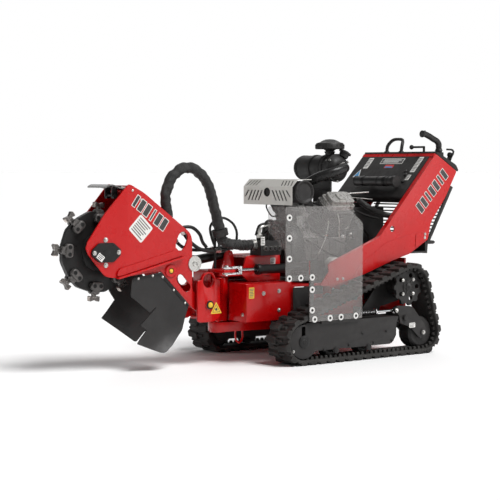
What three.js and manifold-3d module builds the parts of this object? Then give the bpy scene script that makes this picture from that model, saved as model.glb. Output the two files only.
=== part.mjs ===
// A tracked, walk-behind stump grinder.
// Millimetres. +X points forward to the cutter, +Y to the operator's left, +Z up.
// The pieces are drawn from a datum on the ground below the front of the tracks, and the whole group
// is then moved along X so that its origin is the middle of its footprint.
import * as THREE from "three";
import { mergeVertices } from "three/addons/utils/BufferGeometryUtils.js";
import Module from "manifold-3d";

const wasm = await Module();
wasm.setup();

// ---------------------------------------------------------------- driving dimensions
const DATUM_TO_CENTRE = 28; // shifts the datum so that the origin is mid-length
const GAP = 0.4; // left between pieces that touch

const TRACK_OUTER = 447.5; // half of the width over both tracks
const TRACK_INNER = 267.5;
const BELT_THICK = 14; // carcass without its lugs
const LUG_HIGH = 14;
const LUG_COUNT = 34;
const FRONT_IDLER = { x: -22, z: 125, r: 97 };
const REAR_IDLER = { x: -884, z: 120, r: 92 }; // the belt's arc; the wheel itself is a little smaller
const REAR_WHEEL = { x: -881, z: 118, r: 88 };
const SPROCKET = { x: -792, z: 373, r: 106 };

const TENSIONER_PIVOT = { x: -742, z: 206 };
const TENSION_PIN = { x: -684, z: 250 };

const HALF_FRAME = 235; // chassis side rails, half width
const KINGPIN_X = 215; // vertical swing axis
const EAR_LOW = [162, 212]; // z of the two chassis ears that hold the kingpin
const EAR_HIGH = [455, 475];
const BOOM_PIVOT = { x: 362, z: 317 };
const LIFT_BASE = { x: 170, z: 570 };
const LIFT_PIN = { x: 436, z: 533 };
const SWING_BASE = { x: -285, y: 175 };
const SWING_PIN = { x: 275, y: 160 };
const SWING_LEVEL = 492; // z of the swing cylinder

const HEAD_HALF = 100; // half width over the cutter head's side plates
const HEAD_PLATE = 10;
const WHEEL = { x: 967, z: 608, disc: 204, tip: 248, half: 14 };
const TEETH = 8; // spaced round the wheel
const FIRST_TOOTH = 4; // degrees up from straight ahead
const POCKET_CIRCLE = 170;

const CONSOLE_HALF = 305; // half width over the console's side arms
const ARM_PLATE = 8;
const SHIELD = [452.6, 456.8]; // y of the clear side shield
const CRANK_Z = 590;
const MUFFLER = { x: -200, z: 898, r: 60, half: 214 };
const AIR_CLEANER = { x: -520, z: 1028, r: 72, from: -200, to: 155 };
const JOYSTICK = { x: -1172, y: 245, z: 1126 };

// ---------------------------------------------------------------- materials
function material(color, roughness, metalness) {
  return new THREE.MeshStandardMaterial({ color, roughness, metalness });
}

const RED = material(0xb50d10, 0.35, 0.1);
const BLACK = material(0x1c1b1b, 0.5, 0.2);
const RUBBER = material(0x1d1c1b, 0.9, 0);
const CHROME = material(0xe2e2e2, 0.1, 1);
const CASTING = material(0x77777a, 0.5, 0.7);
const STEEL = material(0xc8c4bd, 0.4, 0.8);
const CLEAR = material(0xaeb2b4, 0.1, 0);
const TOOTH = material(0x8d8985, 0.5, 0.8);

// ---------------------------------------------------------------- solids
function solid(geometry) {
  const bare = geometry.index ? geometry.toNonIndexed() : geometry.clone();
  bare.deleteAttribute("normal");
  bare.deleteAttribute("uv");
  const merged = mergeVertices(bare, 1e-3);
  const mesh = new wasm.Mesh({
    numProp: 3,
    vertProperties: merged.attributes.position.array,
    triVerts: new Uint32Array(merged.index.array),
  });
  return new wasm.Manifold(mesh);
}

function geometryOf(body) {
  const mesh = body.getMesh();
  const geometry = new THREE.BufferGeometry();
  const positions = Float32Array.from(mesh.vertProperties);
  geometry.setAttribute("position", new THREE.BufferAttribute(positions, 3));
  geometry.setIndex(new THREE.BufferAttribute(Uint32Array.from(mesh.triVerts), 1));
  geometry.computeVertexNormals();
  return geometry;
}

function join(...bodies) {
  return bodies.flat().reduce((sum, body) => sum.add(body));
}

function cut(body, ...tools) {
  return tools.flat().reduce((rest, tool) => rest.subtract(tool), body);
}

function box([x0, x1], [y0, y1], [z0, z1]) {
  const geometry = new THREE.BoxGeometry(x1 - x0, y1 - y0, z1 - z0);
  return solid(geometry.translate((x0 + x1) / 2, (y0 + y1) / 2, (z0 + z1) / 2));
}

// A round bar from one point to another.
function bar(from, to, radius, sides = 12, endRadius = radius) {
  const a = new THREE.Vector3(...from);
  const b = new THREE.Vector3(...to);
  const along = b.clone().sub(a);
  const geometry = new THREE.CylinderGeometry(endRadius, radius, along.length(), sides);
  const turn = new THREE.Quaternion().setFromUnitVectors(
    new THREE.Vector3(0, 1, 0),
    along.normalize(),
  );
  const middle = a.add(b).multiplyScalar(0.5);
  return solid(geometry.applyQuaternion(turn).translate(middle.x, middle.y, middle.z));
}

function barY({ x, z }, radius, [y0, y1], sides = 14) {
  return bar([x, y0, z], [x, y1, z], radius, sides);
}

const HALF_A_SIDE = 0.49; // the most of a side that one rounded corner may take

// A closed outline, always run counter-clockwise. Each corner is [u, v] or [u, v, radius].
function outline(given, holes = []) {
  const clockwise = THREE.ShapeUtils.isClockWise(given.map(([u, v]) => new THREE.Vector2(u, v)));
  const corners = clockwise ? given.toReversed() : given;
  const shape = new THREE.Shape();
  corners.forEach(([u, v, wanted = 0], i) => {
    const here = new THREE.Vector2(u, v);
    const before = new THREE.Vector2(...corners[(i + corners.length - 1) % corners.length]);
    const after = new THREE.Vector2(...corners[(i + 1) % corners.length]);
    const shortest = Math.min(here.distanceTo(before), here.distanceTo(after));
    const radius = Math.min(wanted, shortest * HALF_A_SIDE);
    const start = here.clone().addScaledVector(before.sub(here).normalize(), radius);
    const end = here.clone().addScaledVector(after.sub(here).normalize(), radius);
    if (i === 0) shape.moveTo(start.x, start.y);
    else shape.lineTo(start.x, start.y);
    if (radius > 0) shape.quadraticCurveTo(u, v, end.x, end.y);
  });
  shape.closePath();
  shape.holes = holes;
  return shape;
}

function extrude(shape, depth, curveSegments = 2) {
  return new THREE.ExtrudeGeometry(shape, { depth, bevelEnabled: false, curveSegments });
}

// Flat plates: drawn in XZ and thick along Y, in XY and thick along Z, or in YZ and thick along X.
function plateXZ(corners, [y0, y1], holes = []) {
  const geometry = extrude(outline(corners, holes), y1 - y0);
  return solid(geometry.rotateX(Math.PI / 2).translate(0, y1, 0));
}

function plateXY(corners, [z0, z1], holes = []) {
  return solid(extrude(outline(corners, holes), z1 - z0).translate(0, 0, z0));
}

function plateYZ(corners, [x0, x1]) {
  const geometry = extrude(outline(corners), x1 - x0);
  const turn = new THREE.Matrix4().makeBasis(
    new THREE.Vector3(0, 1, 0),
    new THREE.Vector3(0, 0, 1),
    new THREE.Vector3(1, 0, 0),
  );
  return solid(geometry.applyMatrix4(turn).translate(x0, 0, 0));
}

// The outline of a round hole, run clockwise as a hole's is.
function roundHole(x, z, radius, sides = 14) {
  const points = Array.from({ length: sides }, (_, i) => {
    const angle = (-i / sides) * Math.PI * 2;
    return new THREE.Vector2(x + radius * Math.cos(angle), z + radius * Math.sin(angle));
  });
  return new THREE.Path(points);
}

// The outline of a long hole with round ends about two points.
function slot(ax, az, bx, bz, radius) {
  const lean = Math.atan2(bz - az, bx - ax);
  const ends = [
    [bx, bz, lean + Math.PI / 2],
    [ax, az, lean - Math.PI / 2],
  ];
  const points = ends.flatMap(([x, z, start]) =>
    Array.from({ length: 5 }, (_, i) => {
      const angle = start - (i / 4) * Math.PI;
      return new THREE.Vector2(x + radius * Math.cos(angle), z + radius * Math.sin(angle));
    }),
  );
  return new THREE.Path(points);
}

// A round tube's solid along a smooth curve through the points.
function pipe(points, radius, sides = 8, steps = 14) {
  const path = new THREE.CatmullRomCurve3(points.map((p) => new THREE.Vector3(...p)));
  const section = new THREE.Shape();
  for (let i = 0; i < sides; i++) {
    const angle = (i / sides) * Math.PI * 2;
    const place = [radius * Math.cos(angle), radius * Math.sin(angle)];
    if (i === 0) section.moveTo(...place);
    else section.lineTo(...place);
  }
  section.closePath();
  return solid(
    new THREE.ExtrudeGeometry(section, { steps, extrudePath: path, bevelEnabled: false }),
  );
}

// A turned body about an axis along Y: profile pairs are [radius, y].
function turnedY({ x, z }, profile, sides = 20) {
  const points = profile.map(([r, y]) => new THREE.Vector2(r, y));
  return solid(new THREE.LatheGeometry(points, sides).translate(x, 0, z));
}

// A turned body about an upright axis: profile pairs are [radius, z].
function turnedZ(x, y, profile, sides = 16) {
  const points = profile.map(([r, z]) => new THREE.Vector2(r, z));
  return solid(new THREE.LatheGeometry(points, sides).rotateX(Math.PI / 2).translate(x, y, 0));
}

function mirrored(body) {
  return body.mirror([0, 1, 0]);
}

const machine = new THREE.Group();
machine.position.x = DATUM_TO_CENTRE;

function add(name, body, look) {
  const mesh = new THREE.Mesh(geometryOf(body), look);
  mesh.name = name;
  machine.add(mesh);
}

// A piece on the left and its mirror image on the right.
function addPair(name, body, look) {
  add(name + "_left", body, look);
  add(name + "_right", mirrored(body), look);
}

// ---------------------------------------------------------------- tracks
// The belt's line is the shortest loop round three wheels, so it is arcs joined by tangents.
function beltLine(grow) {
  const wheels = [FRONT_IDLER, SPROCKET, REAR_IDLER];
  const shape = new THREE.Shape();
  wheels.forEach((wheel, i) => {
    const before = wheels[(i + 2) % 3];
    const after = wheels[(i + 1) % 3];
    const start = tangentAngle(before, wheel);
    const end = tangentAngle(wheel, after);
    shape.absarc(wheel.x, wheel.z, wheel.r + grow, start, end, false);
  });
  shape.closePath();
  return shape;
}

// The direction, from either centre, of the point where their common outer tangent touches.
function tangentAngle(a, b) {
  const dx = b.x - a.x;
  const dz = b.z - a.z;
  const lean = Math.asin((b.r - a.r) / Math.hypot(dx, dz));
  return Math.atan2(dz, dx) - Math.PI / 2 - lean;
}

function lug(line, at) {
  const spot = line.getPointAt(at);
  const run = line.getTangentAt(at);
  const geometry = new THREE.BoxGeometry(30, TRACK_OUTER - TRACK_INNER, LUG_HIGH + 4);
  geometry.rotateY(-Math.atan2(run.y, run.x));
  const out = LUG_HIGH / 2 - 2;
  const middle = (TRACK_OUTER + TRACK_INNER) / 2;
  return solid(geometry.translate(spot.x + run.y * out, middle, spot.y - run.x * out));
}

function trackBelt() {
  const inside = beltLine(0);
  const outside = beltLine(BELT_THICK);
  const hole = new THREE.Path(inside.getPoints(8));
  const shape = new THREE.Shape(outside.getPoints(8));
  shape.holes = [hole];
  const depth = TRACK_OUTER - TRACK_INNER;
  const loop = solid(extrude(shape, depth).rotateX(Math.PI / 2).translate(0, TRACK_OUTER, 0));
  const lugs = Array.from({ length: LUG_COUNT }, (_, i) => lug(outside, (i + 0.5) / LUG_COUNT));
  const ground = box([-2000, 2000], [0, 500], [-50, 0]);
  return cut(join(loop, lugs), ground);
}

function trackFrame(withRails) {
  const low = 72;
  const high = 221;
  const plate = [
    [-36, high, 6],
    [-36, low, 8],
    [-640, low, 20],
    [-672, 118, 8],
    [-672, 178, 8],
    [-690, high, 8],
  ];
  const outer = join(plateXZ(plate, [428, 436]), barY(FRONT_IDLER, 90, [428, 436], 24));
  const hiddenPlate = plate.map(([x, z]) => [x, z]);
  const inner = join(plateXZ(hiddenPlate, [284, 292]), barY(FRONT_IDLER, 60, [284, 292], 10));
  const slotInCover = box([-31, -6], [420, 440], [150, 204]);
  const web = box([-680, -90], [284, 436], [213, 221]);
  const idlerAxle = barY(FRONT_IDLER, 20, [290, 430], 12);
  const motorMount = plateXZ(
    [
      [-560, high - 2],
      [-560, 262],
      [-700, 420],
      [-800, 440],
      [-882, 380],
      [-826, 288],
      [-690, 262],
      [-672, high - 2],
    ],
    [276, 284.5],
    [roundHole(SPROCKET.x, SPROCKET.z, 58, 12)],
  );
  const pivotBoss = barY(TENSIONER_PIVOT, 14, [284, 440], 12);
  const pivotCheek = box([TENSIONER_PIVOT.x - 14, -660], [284, 292], [180, 221]);
  const springSeat = box([-420, -404], [384, 428], [218, 284]);
  const crossTubes = [
    bar([-180, HALF_FRAME + GAP, 175], [-180, 290, 175], 30),
    bar([-600, HALF_FRAME + GAP, 175], [-600, 290, 175], 30),
  ];
  const standOff = box([-390, -130], [430, 449], [213, 240]);
  const rails = plateXZ(
    [
      [-405, 229, 5],
      [-42, 229, 5],
      [-42, 447],
      [112, 447, 5],
      [112, 790, 5],
      [82, 790, 5],
      [82, 476],
      [-74, 476],
      [-74, 258],
      [-405, 258, 5],
    ],
    [448.5, 452.2],
  );
  const rollerPins = [-240, -470].map((x) => barY({ x, z: 66 }, 12, [290, 430], 12));
  const pinHangers = [-240, -470].flatMap((x) => [
    box([x - 18, x + 18], [428, 436], [52, 80]),
    box([x - 18, x + 18], [284, 292], [52, 80]),
  ]);
  const body = join(outer, inner, web, idlerAxle, motorMount, pivotBoss, pivotCheek);
  const upright = box([-215, -98], [246, 252], [180, 392]);
  const whole = join(body, springSeat, crossTubes, upright, rollerPins, pinHangers);
  return cut(withRails ? join(whole, standOff, rails) : whole, slotInCover);
}

function idlerWheel({ x, z, r }, bore) {
  const rim = r - GAP;
  return turnedY({ x, z }, [
    [bore, 312],
    [rim - 14, 312],
    [rim, 324],
    [rim, 396],
    [rim - 14, 408],
    [bore, 408],
    [bore, 312],
  ]);
}

function roller(x) {
  return turnedY({ x, z: 66 }, [
    [13, 330],
    [36, 330],
    [36, 390],
    [13, 390],
    [13, 330],
  ], 20);
}

function sprocket() {
  const teeth = 11;
  const root = SPROCKET.r - 14;
  const tip = SPROCKET.r - 2;
  const shape = new THREE.Shape();
  for (let i = 0; i < teeth; i++) {
    [[-0.3, root], [-0.14, tip], [0.14, tip], [0.3, root]].forEach(([step, radius], k) => {
      const angle = ((i + step) / teeth) * Math.PI * 2;
      const place = [radius * Math.cos(angle), radius * Math.sin(angle)];
      if (i === 0 && k === 0) shape.moveTo(...place);
      else shape.lineTo(...place);
    });
  }
  shape.closePath();
  const windows = Array.from({ length: 5 }, (_, i) => {
    const angle = ((i + 0.5) / 5) * Math.PI * 2;
    return roundHole(66 * Math.cos(angle), 66 * Math.sin(angle), 14, 8);
  });
  shape.holes = windows;
  const ring = solid(
    extrude(shape, 16).rotateX(Math.PI / 2).translate(SPROCKET.x, 400, SPROCKET.z),
  );
  const hub = barY(SPROCKET, 40, [338, 406]);
  return join(ring, hub);
}

function driveMotor() {
  const drum = barY(SPROCKET, 54, [222, 336], 12);
  const flange = barY(SPROCKET, 72, [262, 275], 12);
  const ports = box([SPROCKET.x + 20, SPROCKET.x + 96], [226, 262], [360, 400]);
  return join(drum, flange, ports);
}

function tensionerArm() {
  const arm = plateXZ(
    [
      [-660, 250, 18],
      [-690, 276, 14],
      [-800, 268, 20],
      [-905, 150, 22],
      [-908, 92, 22],
      [-860, 84, 20],
      [-790, 150, 10],
      [-712, 180, 12],
      [-700, 226, 10],
    ],
    [416, 426],
    [roundHole(TENSIONER_PIVOT.x, TENSIONER_PIVOT.z, 15, 12)],
  );
  const inner = plateXZ(
    [
      [-722, 232],
      [-800, 262],
      [-900, 150],
      [-902, 92],
      [-860, 86],
      [-790, 150],
      [-716, 182],
    ],
    [296, 306],
    [roundHole(TENSIONER_PIVOT.x, TENSIONER_PIVOT.z, 15, 12)],
  );
  const tube = cut(
    barY(TENSIONER_PIVOT, 24, [300, 420], 12),
    barY(TENSIONER_PIVOT, 15, [290, 430], 12),
  );
  const idlerAxle = barY(REAR_WHEEL, 20, [300, 432], 12);
  const pin = barY(TENSION_PIN, 7, [400, 420], 10);
  return join(arm, inner, tube, idlerAxle, pin);
}

function tensionRod() {
  const eye = cut(barY(TENSION_PIN, 16, [400, 412], 16), barY(TENSION_PIN, 11, [398, 414], 12));
  const rod = bar([-668.5, 406, 250], [-424, 406, 250], 7, 10);
  const seat = bar([-545, 406, 250], [-537, 406, 250], 20, 14);
  return cut(join(eye, rod, seat), barY(TENSION_PIN, 11, [398, 414], 12));
}

function tensionSpring() {
  return cut(
    bar([-536.5, 406, 250], [-420.5, 406, 250], 19, 14),
    bar([-540, 406, 250], [-410, 406, 250], 9, 10),
  );
}

// ---------------------------------------------------------------- main frame
// The tongue-shaped plates above and below the swing frame.
const EAR = [
  [-60, -110],
  [KINGPIN_X, -70],
  [KINGPIN_X + 46, -34, 20],
  [KINGPIN_X + 46, 34, 20],
  [KINGPIN_X, 70],
  [-60, 110],
];
const FRONT_TOP = 423; // top of the boxed front
const BOX_REAR = -100; // where the boxed front is welded to the rails
const BOX_NOSE = 200; // its foremost face
const NOTCH = 80; // half width of the notch round the swing post
const NOTCH_REAR = 146; // the notch's rear wall

function mainFrame() {
  const end = BOX_REAR - GAP;
  const rail = (side) => box([-930, end], side > 0 ? [205, HALF_FRAME] : [-HALF_FRAME, -205], [232, 300]);
  const floor = box([-930, end], [-HALF_FRAME, HALF_FRAME], [224, 236]);
  const deck = box([-620, end], [-HALF_FRAME, HALF_FRAME], [394, 406]);
  const deckPosts = [-610, -360, end - 20].flatMap((x) => [
    box([x, x + 20], [205, HALF_FRAME], [290, 400]),
    box([x, x + 20], [-HALF_FRAME, -205], [290, 400]),
  ]);
  const rear = box([-930, -918], [-HALF_FRAME, HALF_FRAME], [224, 520]);
  const lugPlate = [[-330, 216], [-240, 216], [-262, 150, 12], [-308, 150, 12]];
  const cylinderLug = [
    plateXY(lugPlate, [454, 464]),
    plateXY(lugPlate, [520, 530]),
    box([-330, -240], [206, 222], [400, 530]),
    bar([SWING_BASE.x, SWING_BASE.y, 460], [SWING_BASE.x, SWING_BASE.y, 524], 9, 12),
  ];
  return join(floor, deck, deckPosts, rear, rail(1), rail(-1), cylinderLug);
}

// The boxed front is open at the back. A notch in its nose clears the swing post, and the lower
// ear, its web and the tie-down ring hang below it.
function frontBox() {
  const halves = [1, -1].map((side) => {
    const across = (near, far) => (side > 0 ? [near, far] : [-far, -near]);
    const outline = [[BOX_REAR, 232], [BOX_NOSE, 232, 10], [BOX_NOSE, FRONT_TOP, 10], [BOX_REAR, FRONT_TOP]];
    return join(
      plateXZ(outline, across(HALF_FRAME - 10, HALF_FRAME)),
      box([BOX_NOSE - 10, BOX_NOSE], across(NOTCH, HALF_FRAME), [232, FRONT_TOP]),
      box([NOTCH_REAR - 10, BOX_NOSE], across(NOTCH, NOTCH + 10), [224, FRONT_TOP]),
      box([NOTCH_REAR - 10, BOX_NOSE], across(NOTCH, HALF_FRAME), [224, 236]),
      box([NOTCH_REAR - 10, BOX_NOSE], across(NOTCH, HALF_FRAME), [FRONT_TOP - 12, FRONT_TOP]),
    );
  });
  const bulkhead = box([NOTCH_REAR - 10, NOTCH_REAR], [-NOTCH - 10, NOTCH + 10], [224, FRONT_TOP]);
  const floor = box([BOX_REAR, NOTCH_REAR], [-HALF_FRAME, HALF_FRAME], [224, 236]);
  const top = box([BOX_REAR, NOTCH_REAR], [-HALF_FRAME, HALF_FRAME], [FRONT_TOP - 12, FRONT_TOP]);
  const web = box([-60, 100], [-90, 90], [200, 236]);
  const ring = pipe(
    [[96, 56, 170], [96, 58, 118], [118, 60, 96], [140, 58, 118], [140, 56, 170]],
    6,
    8,
    16,
  );
  return join(floor, top, halves, bulkhead, plateXY(EAR, EAR_LOW), web, ring);
}

// The neck stands on the boxed front of the frame and holds the kingpin from above.
function frameNeck() {
  const foot = FRONT_TOP + GAP;
  const sides = [1, -1].map((side) => {
    const y = side > 0 ? [88, 100] : [-100, -88];
    return plateXZ([[-128, foot], [84, foot], [130, 462], [100, 560, 8], [-128, 560, 8]], y);
  });
  const top = box([-100, 92], [-100, 100], [550, 562]);
  const kingpin = bar([KINGPIN_X, 0, EAR_LOW[1] + GAP], [KINGPIN_X, 0, 478], 24, 18);
  return join(sides, top, plateXY(EAR, EAR_HIGH), kingpin);
}

// ---------------------------------------------------------------- swing frame and cylinders
function swingFrame() {
  const tubeZ = [EAR_LOW[1] + 6, EAR_HIGH[0] - 6];
  const post = bar([KINGPIN_X, 0, tubeZ[0]], [KINGPIN_X, 0, tubeZ[1]], 56, 18);
  const cheek = [
    [292, 250, 20],
    [330, 228, 10],
    [436, 228, 20],
    [436, 448, 20],
    [292, 448, 10],
  ];
  const cheeks = [[115, 127], [-127, -115]].map((y) => plateXZ(cheek, y));
  const sidePlates = [1, -1].map((side) =>
    plateXY(
      [
        [KINGPIN_X - 20, side * 40],
        [KINGPIN_X + 10, side * 56],
        [306, side * 127],
        [306, side * 108],
        [KINGPIN_X + 30, side * 36],
      ],
      [tubeZ[0] + 6, tubeZ[1] - 4],
    ),
  );
  const shelfLow = plateXY([[215, -50], [310, -120], [310, 120], [215, 50]], [228, 242]);
  const shelfHigh = plateXY([[215, -50], [310, -120], [310, 120], [215, 50]], [432, 445]);
  const stubs = [[104, 127], [-127, -104]].map((y) =>
    cut(barY({ x: 363, z: 443 }, 45, y, 14), barY({ x: 363, z: 443 }, 38, [-130, 130], 14)),
  );
  const eyes = barY({ x: 363, z: 443 }, 38, [-130, 130], 14);
  const pivotBosses = [[127, 133], [-133, -127]].map((y) => barY(BOOM_PIVOT, 27, y, 14));
  const pivotPin = barY(BOOM_PIVOT, 16, [-136, 136], 12);
  const riser = box([294, 320], [-78, 78], [430, 490]);
  const roof = plateXY([[130, -45, 10], [320, -78], [320, 78], [130, 45, 10]], [481, 490]);
  const horns = [[32, 44], [-44, -32]].map((y) =>
    plateXZ([[132, 486], [226, 486], [190, 592, 18], [150, 592, 18]], y),
  );
  const hornPin = barY(LIFT_BASE, 10, [-46, 46], 12);
  const rodLug = plateXY(
    [[284, 48], [320, 56], [318, 198, 30], [232, 198, 30], [232, 122, 20]],
    [485, 499],
  );
  const lugHole = bar([SWING_PIN.x, SWING_PIN.y, 470], [SWING_PIN.x, SWING_PIN.y, 510], 24, 12);
  const lower = join(post, cheeks, sidePlates, shelfLow, shelfHigh, stubs, pivotBosses);
  const upper = join(pivotPin, riser, roof, horns, hornPin, rodLug);
  const bore = bar([KINGPIN_X, 0, 150], [KINGPIN_X, 0, 480], 25, 18);
  return cut(join(lower, upper), bore, lugHole, eyes);
}

// The post and band that hold the hose bundle up.
function hoseClamp() {
  const post = bar([262, 40, 490.4], [267, 47, 664], 7, 10);
  const band = cut(
    bar([262, 90, 672], [270, 90, 706], 43, 14),
    bar([257, 90, 651], [275, 90, 727], 37.5, 14),
  );
  return join(post, band, box([256, 278], [43, 52], [650, 700]), box([246, 276], [28, 54], [490.4, 498]));
}

// A point at a distance along the line from one end of a cylinder towards the other.
function along(from, to, distance) {
  const a = new THREE.Vector3(...from);
  const b = new THREE.Vector3(...to);
  return a.clone().addScaledVector(b.sub(a).normalize(), distance).toArray();
}

function ramBarrel(from, to, { length, radius, bore, blind, eye }) {
  const shell = bar(along(from, to, eye), along(from, to, length), radius, 14);
  const gland = bar(along(from, to, length - 24), along(from, to, length), radius + 4, 14);
  const inside = bar(along(from, to, blind), along(from, to, length + 10), bore, 14);
  return cut(join(shell, gland), inside);
}

function liftBarrel() {
  const from = [LIFT_BASE.x, 0, LIFT_BASE.z];
  const to = [LIFT_PIN.x, 0, LIFT_PIN.z];
  const barrel = ramBarrel(from, to, { length: 222, radius: 25, bore: 12.5, blind: 26, eye: 8 });
  return cut(join(barrel, barY(LIFT_BASE, 22, [-30, 30])), barY(LIFT_BASE, 10.8, [-40, 40]));
}

function liftRod() {
  const from = [LIFT_BASE.x, 0, LIFT_BASE.z];
  const to = [LIFT_PIN.x, 0, LIFT_PIN.z];
  const rod = bar(along(from, to, 45), along(from, to, 262), 11.5, 12);
  return cut(join(rod, barY(LIFT_PIN, 26, [-28, 28])), barY(LIFT_PIN, 18, [-40, 40]));
}

function swingBarrel() {
  const from = [SWING_BASE.x, SWING_BASE.y, SWING_LEVEL];
  const to = [SWING_PIN.x, SWING_PIN.y, SWING_LEVEL];
  const barrel = ramBarrel(from, to, { length: 368, radius: 25, bore: 12.5, blind: 60, eye: 8 });
  const eye = bar([from[0], from[1], 474], [from[0], from[1], 510], 22, 12);
  const pinHole = bar([from[0], from[1], 460], [from[0], from[1], 520], 10, 12);
  return cut(join(barrel, eye), pinHole);
}

function swingRod() {
  const from = [SWING_BASE.x, SWING_BASE.y, SWING_LEVEL];
  const to = [SWING_PIN.x, SWING_PIN.y, SWING_LEVEL];
  const rod = bar(along(from, to, 240), along(from, to, 482), 11.5, 12);
  const yoke = box([188, 212], [144, 180], [472, 514]);
  const ears = [[472, 482], [502, 514]].map((z) =>
    plateXY([[200, 142, 6], [284, 138, 12], [300, 160, 10], [284, 182, 12], [200, 182, 6]], z),
  );
  const pin = bar([SWING_PIN.x, SWING_PIN.y, 466], [SWING_PIN.x, SWING_PIN.y, 520], 9, 12);
  return join(rod, yoke, ears, pin);
}

// ---------------------------------------------------------------- cutter head
const HEAD_OUTLINE = [
  [833, 949, 14],
  [744, 903, 20],
  [463, 695, 16],
  [450, 660, 14],
  [450, 388, 20],
  [400, 366, 20],
  [332, 350, 22],
  [326, 284, 24],
  [400, 270, 20],
  [450, 304, 10],
  [646, 504, 10],
  [909, 478, 20],
  [969, 487, 20],
  [1088, 631, 40],
  [969, 801, 10],
];

function headPlate(y) {
  const holes = [
    roundHole(WHEEL.x, WHEEL.z, 27),
    roundHole(BOOM_PIVOT.x, BOOM_PIVOT.z, 17),
    slot(524, 458, 484, 412, 25),
    slot(524, 632, 506, 672, 30),
  ];
  return plateXZ(HEAD_OUTLINE, y, holes);
}

function cutterHead() {
  const near = [HEAD_HALF - HEAD_PLATE, HEAD_HALF];
  const far = [-HEAD_HALF, HEAD_PLATE - HEAD_HALF];
  const plates = [headPlate(near), headPlate(far)];
  const gussets = [[HEAD_HALF - 2, 128], [-128, 2 - HEAD_HALF]].map((y) =>
    plateXZ([[506, 568, 4], [909, 474, 4], [911, 482, 4], [508, 577, 4]], y),
  );
  const inside = [-94, 94];
  const roof = plateXZ([[840, 930], [744, 885], [640, 808], [636, 816], [744, 897], [838, 940]], inside);
  const bulkhead = plateXZ([[684, 500], [694, 500], [672, 700], [694, 850], [684, 850], [662, 700]], inside);
  const cross = plateXZ([[470, 560], [480, 552], [690, 640], [686, 650]], inside);
  const rearTie = box([452, 464], inside, [318, 372]);
  const liftLugs = [[30, 42], [-42, -30]].map((y) =>
    plateXZ([[676, 640], [430, 562, 20], [408, 536, 16], [432, 506, 20], [676, 520]], y),
  );
  const liftPin = barY(LIFT_PIN, 9.5, [-46, 46], 12);
  const pivotTube = cut(barY(BOOM_PIVOT, 27, [-96, 96], 12), barY(BOOM_PIVOT, 17, [-140, 140], 12));
  const tubeBrace = plateXZ([[380, 310], [460, 350], [456, 362], [372, 340]], inside);
  const deflectorBracket = box([826, 860], inside, [904, 916]);
  const body = join(plates, gussets, roof, bulkhead, cross, rearTie, liftLugs, liftPin, pivotTube);
  const pivotBore = barY(BOOM_PIVOT, 17, [-140, 140], 12);
  return cut(join(body, tubeBrace, deflectorBracket), pivotBore);
}

function cutterWheel() {
  const disc = barY(WHEEL, WHEEL.disc, [-WHEEL.half, WHEEL.half], 32);
  const hub = barY(WHEEL, 48, [-78, 78], 14);
  const shaft = barY(WHEEL, 24, [-99, 99], 12);
  const teeth = Array.from({ length: TEETH }, (_, i) => tooth((i / TEETH) * 360 + FIRST_TOOTH));
  return join(disc, hub, shaft, teeth);
}

// A two-ended cutting tooth with the bolted pockets that clamp it, one on each face of the wheel.
function tooth(degrees) {
  const shape = outline([[-34, -20, 14], [34, -20, 14], [34, 22], [-34, 22]]);
  const pocket = extrude(shape, 26, 1).rotateX(Math.PI / 2).translate(0, 38, POCKET_CIRCLE);
  const near = solid(pocket);
  const shank = new THREE.BoxGeometry(22, 22, 76).translate(0, 0, POCKET_CIRCLE + 26);
  const tips = new THREE.BoxGeometry(52, 28, 22).translate(0, 0, WHEEL.tip - 11);
  const body = join(near, mirrored(near), solid(shank), solid(tips));
  return body.rotate([0, 90 - degrees, 0]).translate([WHEEL.x, 0, WHEEL.z]);
}

function hubCover() {
  const quarter = [[40, 48], [82, 14]];
  const right = [...quarter, ...quarter.toReversed().map(([u, v]) => [u, -v])];
  const left = right.toReversed().map(([u, v]) => [-u, v]);
  const corners = [...right, ...left].map(([u, v]) => [WHEEL.x + u, WHEEL.z + v]);
  const plate = plateXZ(corners, [HEAD_HALF + GAP, HEAD_HALF + 8]);
  const bolts = [-70, 70].map((u) =>
    barY({ x: WHEEL.x + u, z: WHEEL.z }, 11, [HEAD_HALF + 4, HEAD_HALF + 14], 8),
  );
  return join(plate, bolts);
}

function cutterMotor() {
  const flange = barY(WHEEL, 68, [-112, -HEAD_HALF - GAP], 8);
  const drum = barY(WHEEL, 52, [-205, -110], 14);
  const ports = box([WHEEL.x - 40, WHEEL.x + 20], [-196, -150], [WHEEL.z + 30, WHEEL.z + 78]);
  return join(flange, drum, ports);
}

function deflector() {
  return plateXZ(
    [
      [844, 919], [862, 918], [905, 932], [936, 937], [961, 929],
      [961, 936], [938, 945], [904, 941], [858, 927], [844, 928],
    ],
    [-89.4, 89.4],
  );
}

// A rubber chip curtain beside the wheel, slit from its front edge.
function chipFlap(y, outline) {
  const top = [[478, 315, 10], [650, 496], [822, 470, 8]];
  return plateXZ([...top, ...outline], y);
}

const NEAR_FLAP = [
  [828, 384], [716, 297], [684, 322], [680, 316], [776, 237], [743, 211],
  [815, 146, 8], [668, 88, 30], [604, 127, 20], [528, 196, 20],
];
const FAR_FLAP = [
  [829, 400], [795, 350], [872, 260, 6], [649, 118, 12], [600, 170, 8], [518, 210, 20],
];

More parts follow.
